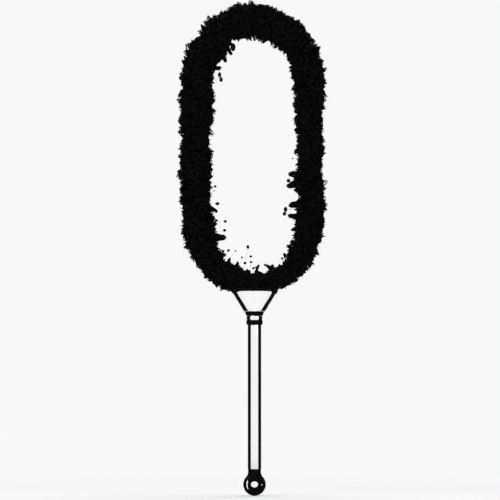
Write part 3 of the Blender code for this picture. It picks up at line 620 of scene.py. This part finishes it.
def makeCollarGrip():
    # Turned with a taper at its foot, then every rib's groove is pressed in along the crest.
    size = collarGrip
    low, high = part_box("collar_grip")
    crest = high.x + size["proud"]
    outer = [(crest - inside, high.z + rise) for inside, rise in size["shoulder"]]
    outer += [(crest - inside, low.z + rise) for inside, rise in size["foot"]]
    bore, seat, seatFoot = size["bore"], size["seat"], low.z + size["step"]
    inner = [(bore, low.z), (bore, seatFoot), (seat, seatFoot), (seat, outer[0][1])]
    grip = turnRings("collarGrip", outer + inner + outer[:1], size["ribs"] * 8)
    for vertex in grip.data.vertices:
        reach = math.hypot(vertex.co.x, vertex.co.y)
        if reach > crest - size["ribEdge"]:
            turn = math.atan2(vertex.co.y, vertex.co.x)
            groove = max(0, -math.cos(turn * size["ribs"])) ** size["ribFullness"]
            vertex.co.xy *= 1 - groove * size["ribDepth"] / reach
    settle(grip, "black_rubber", "collar", "collar_grip", sharpAbove=50)


makeLockCollar()
makeCollarGrip()
print("collar made")


# Washer, ferrule and inner tube


washer = {
    "bore": 5.8 * mm, "footRadius": 10.6 * mm, "lipRadius": 12.9 * mm, "shoulderRadius": 12.2 * mm,
    "waistRadius": 11 * mm, "footDrop": 0.85 * mm, "footInset": 0.2 * mm, "footTaper": 0.6 * mm,
    "lipRise": 0.65 * mm, "lipHeight": 0.9 * mm, "cupHeight": 1.9 * mm, "rounding": 0.2 * mm,
    "sides": 96,
}


def makeWasher():
    # cupped: it widens upwards, where the ferrule's foot sits in it
    size = washer
    low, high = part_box("ferrule_washer")
    top, foot = high.z + size["lipRise"], low.z - size["footDrop"]
    bore, side = size["bore"], size["footRadius"]
    rings = [(size["lipRadius"], top), (size["shoulderRadius"], top - size["lipHeight"])]
    rings += [(size["waistRadius"], top - size["cupHeight"]), (side, foot + size["footTaper"])]
    rings += [(side - size["footInset"], foot), (bore, foot), (bore, top)]
    piece = turnRings("ferruleWasher", rings + rings[:1], size["sides"])
    softenEdges(piece, size["rounding"], 3)
    settle(piece, "black_nylon", "head", "ferrule_washer")


# flare: shares of the height, and how far the section has opened towards the mouth there
ferrule = {
    "neckRadius": 12 * mm, "wall": 1 * mm, "squareness": 2.6, "footRise": 0.7 * mm,
    "flare": {0: 0.07, 0.06: 0.145, 0.29: 0.36, 0.5: 0.575, 0.72: 0.79, 0.94: 0.97, 1: 1},
    "rounding": 0.1 * mm, "bands": 24, "sides": 128,
}


def superEllipse(turn, halfWidth, halfDepth, squareness):
    across, along = math.cos(turn), math.sin(turn)
    x = math.copysign(abs(across) ** (2 / squareness), across) * halfWidth
    y = math.copysign(abs(along) ** (2 / squareness), along) * halfDepth
    return x, y


def makeFerrule():
    # A round tube is drawn out into a flattened, squared mouth.
    size = ferrule
    low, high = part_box("ferrule_shell")
    low.z += size["footRise"]
    neck = size["neckRadius"]
    rings = [(neck, z) for z in np.linspace(low.z, high.z, size["bands"] + 1)]
    shell = turnRings("ferruleShell", rings, size["sides"])
    heights, flares = list(size["flare"]), list(size["flare"].values())
    for vertex in shell.data.vertices:
        flare = float(np.interp((vertex.co.z - low.z) / (high.z - low.z), heights, flares))
        turn = math.atan2(vertex.co.y, vertex.co.x)
        halfWidth = neck + (high.x - neck) * flare
        halfDepth = neck + (high.y - neck) * flare
        squareness = 2 + (size["squareness"] - 2) * flare
        vertex.co.xy = superEllipse(turn, halfWidth, halfDepth, squareness)
    applyModifier(shell, "SOLIDIFY", thickness=size["wall"], offset=-1, use_even_offset=True)
    softenEdges(shell, size["rounding"])
    settle(shell, "plated_steel", "head", "ferrule_shell")


tailBlock = {"footBand": 0.1 * mm, "rimShare": 0.75, "footShare": 0.95}


def makeTailBlock():
    # the block's own mesh, its foot drawn in and cut off level with the ferrule's foot
    size = tailBlock
    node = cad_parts["tail_block"]
    deselectAll()
    block = node.copy()
    block.data = node.data.copy()
    block.name = block.data.name = "tailBlock"
    block.parent = None
    block.matrix_world = node.matrix_world
    bpy.context.scene.collection.objects.link(block)
    bpy.context.view_layer.objects.active = block
    block.select_set(True)
    editMesh()
    bpy.ops.mesh.customdata_custom_splitnormals_clear()
    closeUp()
    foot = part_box("tail_block")[0].z
    rim, share = ferrule["neckRadius"] * size["rimShare"], size["footShare"]
    for vertex in block.data.vertices:
        vertex.select = vertex.co.z < foot + size["footBand"] and vertex.co.xy.length > rim
    editMesh()
    bpy.ops.transform.resize(value=(share, share, 1), center_override=(0, 0, foot))
    cut((0, 0, foot + ferrule["footRise"]), clear_inner=True, use_fill=True)
    editMesh(False)
    settle(block, "natural_nylon", "head", "tail_block")


innerTube = {"wall": 0.8 * mm, "rounding": 0.2 * mm, "sides": 80, "bands": 12}


def makeInnerTube():
    low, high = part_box("inner_tube")
    tube = turnTube("innerTube", high.x, high.x - innerTube["wall"], high.z, low.z, innerTube)
    settle(tube, "tube_steel", "head", "inner_tube")


makeWasher()
makeFerrule()
makeTailBlock()
makeInnerTube()
print("ferrule made")


# Wool: a core on the loop's line, darkened with painted shade, covered with tufts of tapered, curling locks


loopLine = {
    "rodRadius": 2.5 * mm, "footAboveFerrule": 10.4 * mm, "bottomDrop": 76 * mm,
    "bottomSquareness": 2.25, "topRise": 76.5 * mm, "samples": 400, "stations": 3000,
}

# how far the fleece stands from the rod, in mm, at thousandths of the way round from the foot
outerPile = {
    0: 11.2, 33: 12.3, 67: 14.3, 83: 13.5, 100: 11.7, 117: 12.9, 133: 15.2, 150: 15.8, 167: 17.7, 183: 15.2,
    200: 13.6, 217: 11.9, 233: 11.3, 250: 14.8, 267: 15.2, 283: 12.7, 300: 11.9, 317: 15.1, 333: 14.4,
    350: 16.3, 383: 16.9, 400: 18, 417: 17.2, 433: 19.2, 450: 19.1, 467: 17.3, 483: 18.8, 500: 21.8,
    517: 22.2, 533: 21.7, 550: 22.6, 567: 21.8, 583: 18.5, 600: 21.5, 617: 22.2, 650: 20.4, 700: 21.7,
    767: 21.5, 783: 23, 800: 21.7, 817: 20.4, 833: 20.2, 850: 18.1, 867: 19.2, 883: 17.8, 900: 15.9,
    917: 14.3, 933: 15.6, 950: 15.4, 967: 13.6, 983: 12.2,
}
innerPile = {
    0: 9.8, 17: 9.4, 33: 13, 50: 12, 67: 15, 83: 19.6, 100: 20.8, 117: 19.1, 133: 19.2, 150: 19.2,
    155.5: 18, 158: 11.5, 162: 11.5, 164.5: 16.6, 167: 17.2, 180: 14.6, 200: 19.6, 217: 19.3, 233: 16.4,
    250: 17.5, 283: 18.2, 300: 19.4, 317: 21.5, 333: 20.2, 350: 21.4, 367: 22.4, 383: 22.8, 400: 20.3,
    417: 20.5, 433: 20.5, 450: 21.8, 483: 23.2, 500: 18.6, 517: 20.7, 533: 19.2, 547: 14.6, 562: 19.6,
    583: 24.2, 600: 19.6, 617: 16.4, 650: 18.7, 683: 19.5, 700: 17.6, 717: 12, 733: 12.6, 750: 16,
    767: 15.9, 800: 15.6, 817: 14.9, 833: 14.8, 850: 19.1, 867: 21.3, 883: 22.4, 900: 19.1, 917: 18.1,
    933: 14.4, 950: 17.3, 967: 17, 983: 14,
}


def unit(vectors):
    return vectors / np.maximum(np.linalg.norm(vectors, axis=-1, keepdims=True), 1e-9)


def loopPlaces(count):
    # Even steps round the loop from its foot, up the +X side: place, direction and outward side.
    size = loopLine
    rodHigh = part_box("loop_rod")[1]
    halfWidth = rodHigh.x - size["rodRadius"]
    drop, rise = size["bottomDrop"], size["topRise"]
    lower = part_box("ferrule_shell")[1].z + size["footAboveFerrule"] + drop
    upper = rodHigh.z - size["rodRadius"] - rise
    turns = np.linspace(0, math.pi / 2, size["samples"])
    power = 2 / size["bottomSquareness"]
    low = np.stack([halfWidth * np.sin(turns) ** power, lower - drop * np.cos(turns) ** power], 1)
    high = np.stack([halfWidth * np.cos(turns), upper + rise * np.sin(turns)], 1)
    half = np.concatenate([low, high])
    line = np.concatenate([half, half[-2:0:-1] * (-1, 1), half[:1]])
    gone = np.concatenate([[0], np.cumsum(np.linalg.norm(np.diff(line, axis=0), axis=1))])
    steps = np.linspace(0, gone[-1], count, endpoint=False)
    x, z = np.interp(steps, gone, line[:, 0]), np.interp(steps, gone, line[:, 1])
    ahead = unit(np.stack([np.roll(x, -2) - np.roll(x, 2), np.roll(z, -2) - np.roll(z, 2)], 1))
    none = np.zeros(count)
    place = np.stack([x, none, z], 1)
    forward = np.stack([ahead[:, 0], none, ahead[:, 1]], 1)
    outward = np.stack([ahead[:, 1], none, -ahead[:, 0]], 1)
    return place, forward, outward, gone[-1]


def pileReach(turn, angle=math.pi / 2):
    # turn runs from 0 at the loop's foot, through 0.5 at its top, to 1; angle 0 is the loop's outer side
    way = np.asarray(turn) * 1000
    outer, inner = (np.interp(way, list(p), list(p.values()), period=1000) for p in (outerPile, innerPile))
    return ((outer + inner) / 2 + (outer - inner) / 2 * np.cos(angle)) * mm


linePlace, lineForward, lineOutward, lineLength = loopPlaces(loopLine["stations"])
depthAxis = np.array([0.0, 1.0, 0.0])
ferruleWide, ferruleDeep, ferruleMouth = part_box("ferrule_shell")[1]


def pickStation(turn):
    return (np.asarray(turn) * len(linePlace)).astype(int) % len(linePlace)


def pileSide(turn, angle):
    # the direction straight out of the roll; angle 0 points away from the loop's inside
    outward = lineOutward[pickStation(turn)]
    return np.cos(angle)[:, None] * outward + np.sin(angle)[:, None] * depthAxis


# the core fills a share of the fleece's reach, more of it within a few turns of the foot
woolCore = {
    "share": 0.7, "footShare": 0.9, "footTurns": (0.02, 0.05), "lump": 1.3 * mm, "lumpSize": 9 * mm,
    "aboveMouth": 0.4 * mm, "steps": 320, "sides": 28,
}


def makeWoolCore():
    # A torus is laid along the loop's line.
    size = woolCore
    deselectAll()
    bpy.ops.mesh.primitive_torus_add(
        major_segments=size["steps"], minor_segments=size["sides"], major_radius=1, minor_radius=0.3
    )
    core = bpy.context.object
    core.name = core.data.name = "woolCore"
    closeUp()
    for vertex in core.data.vertices:
        turn = math.atan2(vertex.co.y, vertex.co.x) / math.tau % 1
        angle = math.atan2(vertex.co.z, math.hypot(vertex.co.x, vertex.co.y) - 1)
        away = Vector(pileSide([turn], np.array([angle]))[0])
        share = np.interp(min(turn, 1 - turn), size["footTurns"], (size["footShare"], size["share"]))
        place = Vector(linePlace[pickStation(turn)]) + away * float(pileReach(turn, angle) * share)
        place += away * size["lump"] * noise.noise(place / size["lumpSize"])
        place.z = max(place.z, ferruleMouth + size["aboveMouth"])
        vertex.co = place
    closeUp()
    settle(core, "wool_core_painted_shade", "head", "wool_pile", 180)


lockShape = {
    "levels": 6, "tipStart": 0.92, "heights": (0, 0.35, 0.6, 0.77, 0.92, 1),
    "fullness": (0.8, 1, 0.95, 0.85, 0.55, 0), "turns": (0.8, 2.0), "curlFrom": 0.25,
}


def modelLock():
    # A three-sided cone from z 0 to 1, whose straight taper becomes a full body that thins late.
    size = lockShape
    deselectAll()
    bpy.ops.mesh.primitive_cone_add(vertices=3, radius1=1, radius2=0, depth=1, location=(0, 0, 0.5))
    cuts = [size["tipStart"] * (level + 1) / size["levels"] for level in range(size["levels"])]
    corners, faces = cutAcross(bpy.context.object, cuts)
    reach = np.hypot(corners[:, 0], corners[:, 1])
    full = np.interp(corners[:, 2], size["heights"], size["fullness"])
    corners[:, :2] *= (full / np.maximum(reach, 1e-6))[:, None]
    return corners, faces


lockCorners, lockFaces = modelLock()


def growLocks(name, roots, pulls, tips, thickness, curl, shades):
    # Copies the lock along one bent, curling line for each root, pull and tip.
    count = len(roots)
    t = lockCorners[:, 2][None, :, None]
    root, pull, tip = roots[:, None], pulls[:, None], tips[:, None]
    spine = (1 - t) ** 2 * root + 2 * t * (1 - t) * pull + t**2 * tip
    along = unit(2 * (1 - t) * (pull - root) + 2 * t * (tip - pull))
    across = unit(np.cross(along, np.where(np.abs(along[..., 2:]) > 0.9, [1.0, 0, 0], [0, 0, 1.0])))
    beside = np.cross(along, across)
    phase = rng.uniform(0, math.tau, (count, 1, 1))
    turns = rng.uniform(*lockShape["turns"], (count, 1, 1)) * math.tau
    swing = curl[:, None, None] * np.minimum(1, t / lockShape["curlFrom"])
    spine = spine + swing * (np.cos(phase + turns * t) - np.cos(phase)) * across
    spine = spine + swing * (np.sin(phase + turns * t) - np.sin(phase)) * beside
    x, y = lockCorners[:, 0][None, :, None], lockCorners[:, 1][None, :, None]
    corners = spine + thickness[:, None, None] * (x * across + y * beside)
    faces = lockFaces[None] + (np.arange(count) * len(lockCorners))[:, None, None]
    finishLocks(name, corners, faces, mapLocks(shades[:, None, None], lockCorners, lockFaces))


def mapLocks(shade, corners, faces):
    # u is the lock's shade and v the way from its root to its tip, both kept off the map's rim
    u = shade + 0.003 * corners[faces][..., 0]
    v = 0.01 + 0.98 * corners[faces][..., 2]
    return np.stack(np.broadcast_arrays(u, v), -1)


def finishLocks(name, corners, faces, spots):
    mesh = bpy.data.meshes.new(name)
    mesh.from_pydata(corners.reshape(-1, 3).tolist(), [], faces.reshape(-1, 3).tolist())
    for mapName in ("woolMap", "OFBake"):
        mesh.uv_layers.new(name=mapName).data.foreach_set("uv", spots.astype(np.float32).ravel())
    mesh.polygons.foreach_set("use_smooth", np.ones(len(mesh.polygons), bool))
    mesh.materials.append(finishes["wool_locks"])
    piece = bpy.data.objects.new(name, mesh)
    bpy.context.scene.collection.objects.link(piece)
    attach(piece, "head")


# reach, clumpWave and proudReach lengthen or shorten whole tufts; pull is the middle of a lock's bend
tufts = {
    "spacing": 5.2 * mm, "jitter": 0.25, "locksEach": 12, "rootSpread": 1.98 * mm,
    "rootDepth": 0.36, "reachMean": -0.35 * mm, "reachSpread": 0.9 * mm, "clumpWave": 1.35 * mm,
    "proudShare": 0.15, "proudReach": (1.24 * mm, 3.1 * mm), "lean": 3.4 * mm, "leanSpread": 0.5,
    "droop": (0.24 * mm, 1.2 * mm), "tipSpread": 0.66 * mm, "tipShort": 0.6 * mm,
    "tipUneven": 0.9 * mm, "pullShare": 0.62, "pullSpread": 0.9 * mm, "thickness": 0.66 * mm,
    "thicknessShares": (0.65, 1.15), "curl": 0.7 * mm, "curlShares": (0.4, 1.3), "tuftShade": 0.6,
    "mouthRim": 1 * mm, "mouthRise": (0.3 * mm, 1.2 * mm), "mouthBend": 0.4 * mm, "sections": 9,
}


def tuftSpots():
    # Rows of tufts round the loop, each row offset and every tuft jittered.
    rows = int(lineLength / tufts["spacing"])
    turns, angles = [], []
    for row in range(rows):
        turn = row / rows
        count = int(math.tau * float(pileReach(turn)) / tufts["spacing"])
        around = (np.arange(count) + rng.uniform(0, 1)) / count * math.tau
        angles.append(around + rng.normal(0, tufts["jitter"] / count * math.tau, count))
        turns.append(turn + rng.normal(0, tufts["jitter"] / rows, count))
    return np.concatenate(turns) % 1, np.concatenate(angles)


swayWaves = {"count": 5, "along": (6, 26), "height": 2.2}


def sway(turn, angle, seed, scale, bands=4):
    # a slow wander over the pile, between about -1 and 1
    waves = np.random.default_rng(seed)
    total = 0
    for wave in range(swayWaves["count"]):
        along = round(waves.uniform(*swayWaves["along"]) * scale)
        around = waves.integers(0, bands)
        total = total + np.sin(math.tau * along * turn + around * angle + waves.uniform(0, math.tau))
    return total / swayWaves["height"]


def growPile():
    size = tufts
    turn, angle = tuftSpots()
    count = len(turn)
    station = pickStation(turn)
    side = pileSide(turn, angle)
    forward = lineForward[station]
    around = np.cross(forward, side)
    radius = pileReach(turn, angle)
    reach = radius + size["reachMean"] + rng.normal(0, size["reachSpread"], count)
    reach += size["clumpWave"] * sway(turn, angle, 3, 3.4, 2)
    isProud = rng.random(count) < size["proudShare"]
    reach += np.where(isProud, rng.uniform(*size["proudReach"], count), 0)
    leanAhead = sway(turn, angle, 5, 1.2) + rng.normal(0, size["leanSpread"], count)
    leanAround = sway(turn, angle, 7, 1.0) + rng.normal(0, size["leanSpread"], count)
    centre = linePlace[station]
    lean = size["lean"] * (forward * leanAhead[:, None] + around * leanAround[:, None])
    tip = centre + side * reach[:, None] + lean
    tip[:, 2] -= rng.uniform(*size["droop"], count)
    each = size["locksEach"]
    many = count * each
    pick = np.repeat(np.arange(count), each)
    spread = rng.normal(0, size["rootSpread"], (many, 2))
    root = centre[pick] + side[pick] * (radius * (1 - size["rootDepth"]))[pick][:, None]
    root += forward[pick] * spread[:, :1] + around[pick] * spread[:, 1:]
    ends = tip[pick] + rng.normal(0, size["tipSpread"], (many, 3))
    ends += side[pick] * rng.normal(-size["tipShort"], size["tipUneven"], (many, 1))
    rise = np.linalg.norm(ends - root, axis=1)
    pull = root + side[pick] * (rise * size["pullShare"])[:, None]
    pull += rng.normal(0, size["pullSpread"], (many, 3))
    # Over the ferrule's mouth the locks are pressed flat and lie on it.
    onMouth = np.abs(ends[:, 0]) < ferruleWide + size["mouthRim"]
    flat = ferruleMouth + rng.uniform(*size["mouthRise"], many)
    for line, lowest in ((ends, flat), (pull, flat + size["mouthBend"])):
        line[:, 2] = np.where(onMouth, np.maximum(line[:, 2], lowest), line[:, 2])
    tuftShade = rng.uniform(0, size["tuftShade"], count)
    shade = np.clip(tuftShade[pick] + rng.uniform(0, 1 - size["tuftShade"], many), 0.01, 0.99)
    thickness = size["thickness"] * rng.uniform(*size["thicknessShares"], many)
    curl = size["curl"] * rng.uniform(*size["curlShares"], many)
    section = np.floor(turn[pick] * size["sections"]).astype(int)
    for number in range(size["sections"]):
        chosen = section == number
        parts = (part[chosen] for part in (root, pull, ends, thickness, curl, shade))
        growLocks(f"woolLocks_{number + 1}", *parts)
        print("locks", number + 1, int(chosen.sum()))


def growEvenly(name, size, root, pull, tip):
    # Thickness and curl are drawn between two shares of the tufts' own.
    count = len(root)
    thickness = tufts["thickness"] * rng.uniform(*size["thickness"], count)
    curl = tufts["curl"] * rng.uniform(*size["curl"], count)
    growLocks(name, root, pull, tip, thickness, curl, rng.uniform(0.05, 0.95, count))


def overMouth(x, y, rise):
    return np.stack([x, y, ferruleMouth + rise], 1)


mouthEnds = {
    "count": 560, "turn": 75, "roundness": 0.77, "offRim": 0.4 * mm, "inset": (0.7, 0.92),
    "lift": (1.5 * mm, 5.5 * mm), "out": (0.4 * mm, 1.8 * mm), "hang": (1.5 * mm, 5 * mm),
    "thickness": (0.7, 1.1), "curl": (0.3, 0.8),
}


def growFringe():
    # Locks at the loop's foot that spill over the narrow ends of the ferrule's mouth.
    size = mouthEnds
    count = size["count"]
    side = (-1) ** np.arange(count)
    turn = np.radians(rng.uniform(-size["turn"], size["turn"], count))
    x = side * ferruleWide * np.cos(turn) ** size["roundness"]
    halfDepth = ferruleDeep + size["offRim"]
    y = halfDepth * np.sign(np.sin(turn)) * np.abs(np.sin(turn)) ** size["roundness"]
    inset = rng.uniform(*size["inset"], count)
    lift = rng.uniform(*size["lift"], count)
    out = rng.uniform(*size["out"], count)
    hang = rng.uniform(*size["hang"], count) * np.cos(turn) ** 2
    root = overMouth(x * inset, y * inset, lift)
    tip = overMouth(x + side * (out * 0.4 - hang * 0.45), y + np.sign(y) * out * 0.3, -hang)
    pull = overMouth(x + side * out * 1.8, y + np.sign(y) * out, lift * 0.8)
    growEvenly("woolFringe", size, root, pull, tip)


mouthRims = {
    "count": 420, "share": 0.86, "over": (0.2 * mm, 0.6 * mm), "inside": 3.2 * mm,
    "rootRise": (1.5 * mm, 3.5 * mm), "tipDrop": (0.5 * mm, 1.0 * mm), "tipDrift": 1 * mm,
    "pullRise": (1 * mm, 2.4 * mm), "thickness": (0.8, 1.1), "curl": (0.1, 0.3),
}


def growRims():
    # Short locks lie over the mouth's long rims, front and back.
    size = mouthRims
    count = size["count"]
    x = rng.uniform(-1, 1, count) * ferruleWide * size["share"]
    side = (-1) ** np.arange(count)
    shape = 1 - np.abs(x / ferruleWide) ** ferrule["squareness"]
    y = side * ferruleDeep * shape ** (1 / ferrule["squareness"])
    over = side * rng.uniform(*size["over"], count)
    root = overMouth(x, y - side * size["inside"], rng.uniform(*size["rootRise"], count))
    tip = overMouth(x, y + over, -rng.uniform(*size["tipDrop"], count))
    tip[:, 0] += rng.normal(0, size["tipDrift"], count)
    pull = overMouth(x, y + over * 1.4, rng.uniform(*size["pullRise"], count))
    growEvenly("woolRim", size, root, pull, tip)


mouthPad = {
    "count": 620, "wideShare": 0.9, "deepShare": 0.55, "rootRise": (3.5 * mm, 7 * mm),
    "tipRise": (0.2 * mm, 0.7 * mm), "tipDrift": 1.2 * mm, "rim": 1.2 * mm,
    "pullRise": (2 * mm, 4 * mm), "thickness": (0.8, 1.2), "curl": (0.3, 0.8),
}


def growPad():
    # The foot's own locks, pressed flat over the mouth, close what would show under the roll.
    size = mouthPad
    count = size["count"]
    x = rng.uniform(-1, 1, count) * ferruleWide * size["wideShare"]
    y = rng.uniform(-1, 1, count) * ferruleDeep * size["deepShare"]
    root = overMouth(x, y, rng.uniform(*size["rootRise"], count))
    tip = overMouth(x * 1.04, y * 1.5, rng.uniform(*size["tipRise"], count))
    tip[:, :2] += rng.normal(0, size["tipDrift"], (count, 2))
    tip[:, 1] = np.clip(tip[:, 1], size["rim"] - ferruleDeep, ferruleDeep - size["rim"])
    pull = overMouth(tip[:, 0], tip[:, 1] * 1.1, rng.uniform(*size["pullRise"], count))
    growEvenly("woolFoot", size, root, pull, tip)


# Tufts that stand out of the loop's inner edge: root and tip (x, z) and half width, in mm
strayTufts = (
    (-53.2, 230.4, -44.8, 224.7, 1.6), (-54.4, 209.6, -44.8, 211.1, 1.4), (-50.8, 194.9, -33.6, 194, 3.6),
    (-45.9, 175.4, -33.8, 172.6, 1.8), (-32.4, 161.9, -29.6, 170.1, 1.6), (-22.6, 158.3, -19.8, 165.2, 1.6),
    (0.2, 148.5, 0.2, 152.1, 1), (57, 236, 41.2, 233, 3.4), (54.4, 220.6, 39.8, 220.6, 2.1),
    (49.5, 187.6, 43.4, 190.1, 1.4), (32.4, 155.8, 29.7, 162.3, 1.4), (22.6, 154.6, 21.5, 162.3, 1.5),
    (20.2, 157, 11.3, 161.9, 1.3), (1.8, 150.9, 6.1, 161.9, 1), (-33.6, 427.3, -27.4, 416.8, 1.8),
    (-54, 401.6, -39.4, 401.6, 2.3), (-56.9, 368.6, -48.1, 372.6, 1.5), (-54.4, 352.7, -48.1, 347.8, 1.5),
    (-56.9, 338, -49.4, 335.6, 1.5), (53.2, 399.2, 43.4, 398.8, 1.4), (53.2, 374.7, 44.8, 376.9, 1.3),
    (55.6, 298.9, 47.5, 299.4, 1.4), (54, 271, 40.8, 272.2, 3.6), (54, 259.5, 38.4, 257.2, 3.2),
    (54.4, 262, 42, 260, 2.6), (55, 229, 48.2, 227.8, 1.6), (57, 251.5, 47.6, 252.6, 2.2),
    (55.5, 266.3, 46.8, 266.2, 1.7), (-5.5, 440.8, -3.7, 434.3, 1), (-0.6, 440.8, 0.4, 434.3, 1),
)
strayShape = {
    "locksPerWidth": 18, "depth": 3, "slant": 2, "layer": 0.8, "behind": (1, 6),
    "short": (-0.3, 1.6), "taper": 0.7, "rootWidth": 1.2, "tipWidth": 0.8, "tipLayer": 0.6,
    "bend": 0.7, "thickness": (0.75, 1.1), "curl": (0.3, 1),
}


def growStrayTufts():
    size = strayShape
    roots, pulls, tips, thick = [], [], [], []
    for rootX, rootZ, tipX, tipZ, halfWidth in strayTufts:
        root = np.array([rootX, rng.uniform(-size["depth"], size["depth"]), rootZ])
        tip = np.array([tipX, root[1] + rng.uniform(-size["slant"], size["slant"]), tipZ])
        ahead = unit(tip - root)
        count = int(size["locksPerWidth"] * halfWidth)
        share = rng.uniform(-1, 1, count)[:, None]
        offset = share * halfWidth * np.cross(ahead, depthAxis)
        depth = rng.normal(0, size["layer"], count)[:, None] * depthAxis
        back = ahead * rng.uniform(*size["behind"], count)[:, None]
        short = rng.uniform(*size["short"], count)[:, None] + share**2 * halfWidth * size["taper"]
        roots.append(root + offset * size["rootWidth"] + depth - back)
        tips.append(tip + offset * size["tipWidth"] + depth * size["tipLayer"] - ahead * short)
        pulls.append((roots[-1] + tips[-1]) / 2 + rng.normal(0, size["bend"], (count, 3)))
        thick.append(rng.uniform(*size["thickness"], count))
    roots, pulls, tips = (np.concatenate(part) * mm for part in (roots, pulls, tips))
    thick = np.concatenate(thick) * tufts["thickness"]
    curl = tufts["curl"] * rng.uniform(*size["curl"], len(thick))
    growLocks("woolStrayTufts", roots, pulls, tips, thick, curl, rng.uniform(0.05, 0.95, len(thick)))


# Loose curls that a single fibre holds: place (x, z), half width and half height, in mm
looseCurls = (
    (-45.5, 235.7, 2.2, 1.8), (-46.5, 215.1, 1.5, 1.5), (-35.8, 213.9, 1.6, 1.6), (-36.6, 202.9, 1.6, 1.6),
    (-8.1, 182.5, 1.5, 2.4), (-31.9, 178.4, 1.5, 1.5), (-23.2, 177.9, 0.9, 0.9), (-15.5, 169.8, 1.1, 1.1),
    (-4.6, 171, 1.5, 1.5), (-11.6, 162.9, 1.5, 1.5), (-4.3, 164.1, 1.5, 1.5), (-1.2, 156.7, 1.5, 1.5),
    (2.4, 157.6, 1.4, 1.4), (37.9, 228.4, 1.9, 3), (36.6, 223.2, 1.9, 2), (36.4, 173.4, 1.4, 1.8),
    (33.8, 168.5, 1.3, 1.3), (-38.3, 177.5, 1.5, 1.5), (-26.3, 427, 2.5, 4.2), (-35.8, 410.6, 2, 2.3),
    (-42.7, 392.8, 1.7, 3.2), (-40.9, 387.2, 1.8, 2.6), (-51, 299.6, 1.3, 1.3), (-48.1, 256.6, 1.4, 1.4),
    (-49.4, 251.2, 0.8, 0.8), (46.8, 290.8, 0.8, 0.8), (41.6, 263.6, 2, 2.4),
)
curlShape = {
    "levels": 44, "fibre": 0.045, "strand": 0.62, "strandArea": 1.7, "rootDepth": 3.5,
    "windFrom": 0.3, "turns": 3.2, "depth": 3, "halfDepth": 1.5, "swell": 1.3, "leastRoom": 0.35,
}


def modelCurl():
    # a long three-sided strand from z 0 to 1, to be wound into each loose curl
    deselectAll()
    bpy.ops.mesh.primitive_cylinder_add(vertices=3, radius=1, depth=1, location=(0, 0, 0.5))
    levels = curlShape["levels"]
    return cutAcross(bpy.context.object, [level / levels for level in range(1, levels)])


def windStrand(corners, start, knot, room):
    # The strand runs to the knot as a fine fibre and winds up there, within the room round it.
    size = curlShape
    t = corners[:, 2]
    wound = np.clip((t - size["windFrom"]) / (1 - size["windFrom"]), 0, 1)[:, None]
    reach = np.clip(t / size["windFrom"], 0, 1)[:, None]
    swirl = rng.uniform(0, math.tau) + wound * size["turns"] * math.tau
    shrink = (0.25 + 0.75 * np.sin(wound * math.pi * 0.9 + 0.3)) * np.clip(wound * 8, 0, 1)
    tilt = wound * math.pi * rng.uniform(0.7, 1.3) + rng.uniform(0, math.pi)
    ring = [np.cos(swirl), np.sin(swirl) * np.cos(tilt), np.sin(swirl) * np.sin(tilt)]
    spine = start + (knot - start) * reach + np.concatenate(ring, 1) * shrink * room
    # The strand's direction comes from the rings of three corners before and after each.
    order = np.argsort(t, kind="stable")
    ahead = np.empty_like(spine)
    ahead[order] = np.roll(spine[order], -3, 0) - np.roll(spine[order], 3, 0)
    ahead[order[:3]] = knot - start
    ahead[order[-3:]] = ahead[order[-6:-3]]
    ahead = unit(ahead)
    across = unit(np.cross(ahead, [0.1, 0.9, 0.3]))
    beside = np.cross(ahead, across)
    thick = size["fibre"] + (size["strand"] - size["fibre"]) * np.clip(wound * 10, 0, 1)
    thick = thick * np.clip((1.02 - t[:, None]) * 12, 0.1, 1)
    return spine + thick * (corners[:, :1] * across + corners[:, 1:2] * beside)


def growCurls():
    size = curlShape
    corners, faces = modelCurl()
    allCorners, allFaces, spots = [], [], []
    for x, z, halfWidth, halfHeight in looseCurls:
        nearest = int(np.argmin(np.hypot(linePlace[:, 0] / mm - x, linePlace[:, 2] / mm - z)))
        rod = linePlace[nearest] / mm
        knot = np.array([x, rng.uniform(-size["depth"], size["depth"]), z])
        edge = float(pileReach(nearest / len(linePlace), math.pi)) / mm - size["rootDepth"]
        edge = rod + unit(knot - rod) * edge
        room = np.array([halfWidth, size["halfDepth"], halfHeight]) * size["swell"] - size["strand"]
        room = np.maximum(room, size["leastRoom"])
        for strand in range(max(2, round(halfWidth * halfHeight / size["strandArea"]))):
            start = edge + rng.normal(0, 0.8, 3) * (1, 0.6, 1)
            allFaces.append(faces + len(corners) * len(allCorners))
            allCorners.append(windStrand(corners, start, knot, room) * mm)
            spots.append(mapLocks(rng.uniform(0.05, 0.95), corners, faces))
    corners, faces = np.concatenate(allCorners), np.concatenate(allFaces)
    finishLocks("woolLooseCurls", corners, faces, np.concatenate(spots))


makeWoolCore()
growPile()
growFringe()
growRims()
growPad()
growStrayTufts()
growCurls()
print("wool made")


# Pieces inside, which keep their solids and get their finish


insideFinishes = {
    "black_nylon": ["collet"],
    "natural_nylon": ["stop_ring", "inner_tube_plug"],
    "plated_steel": ["ferrule_plate"],
    "plain_steel": [
        "stop_washer", "stop_screw", "tail_pin_left", "tail_pin_right", "tube_pin",
        "sleeve_clamp_left", "sleeve_clamp_right",
    ],
    "rod_steel": ["loop_rod"],
    "hide": ["hide_sleeve"],
}

for finish, nodes in insideFinishes.items():
    for node in nodes:
        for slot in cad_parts[node].material_slots:
            slot.material = finishes[finish]
print("inside pieces finished")
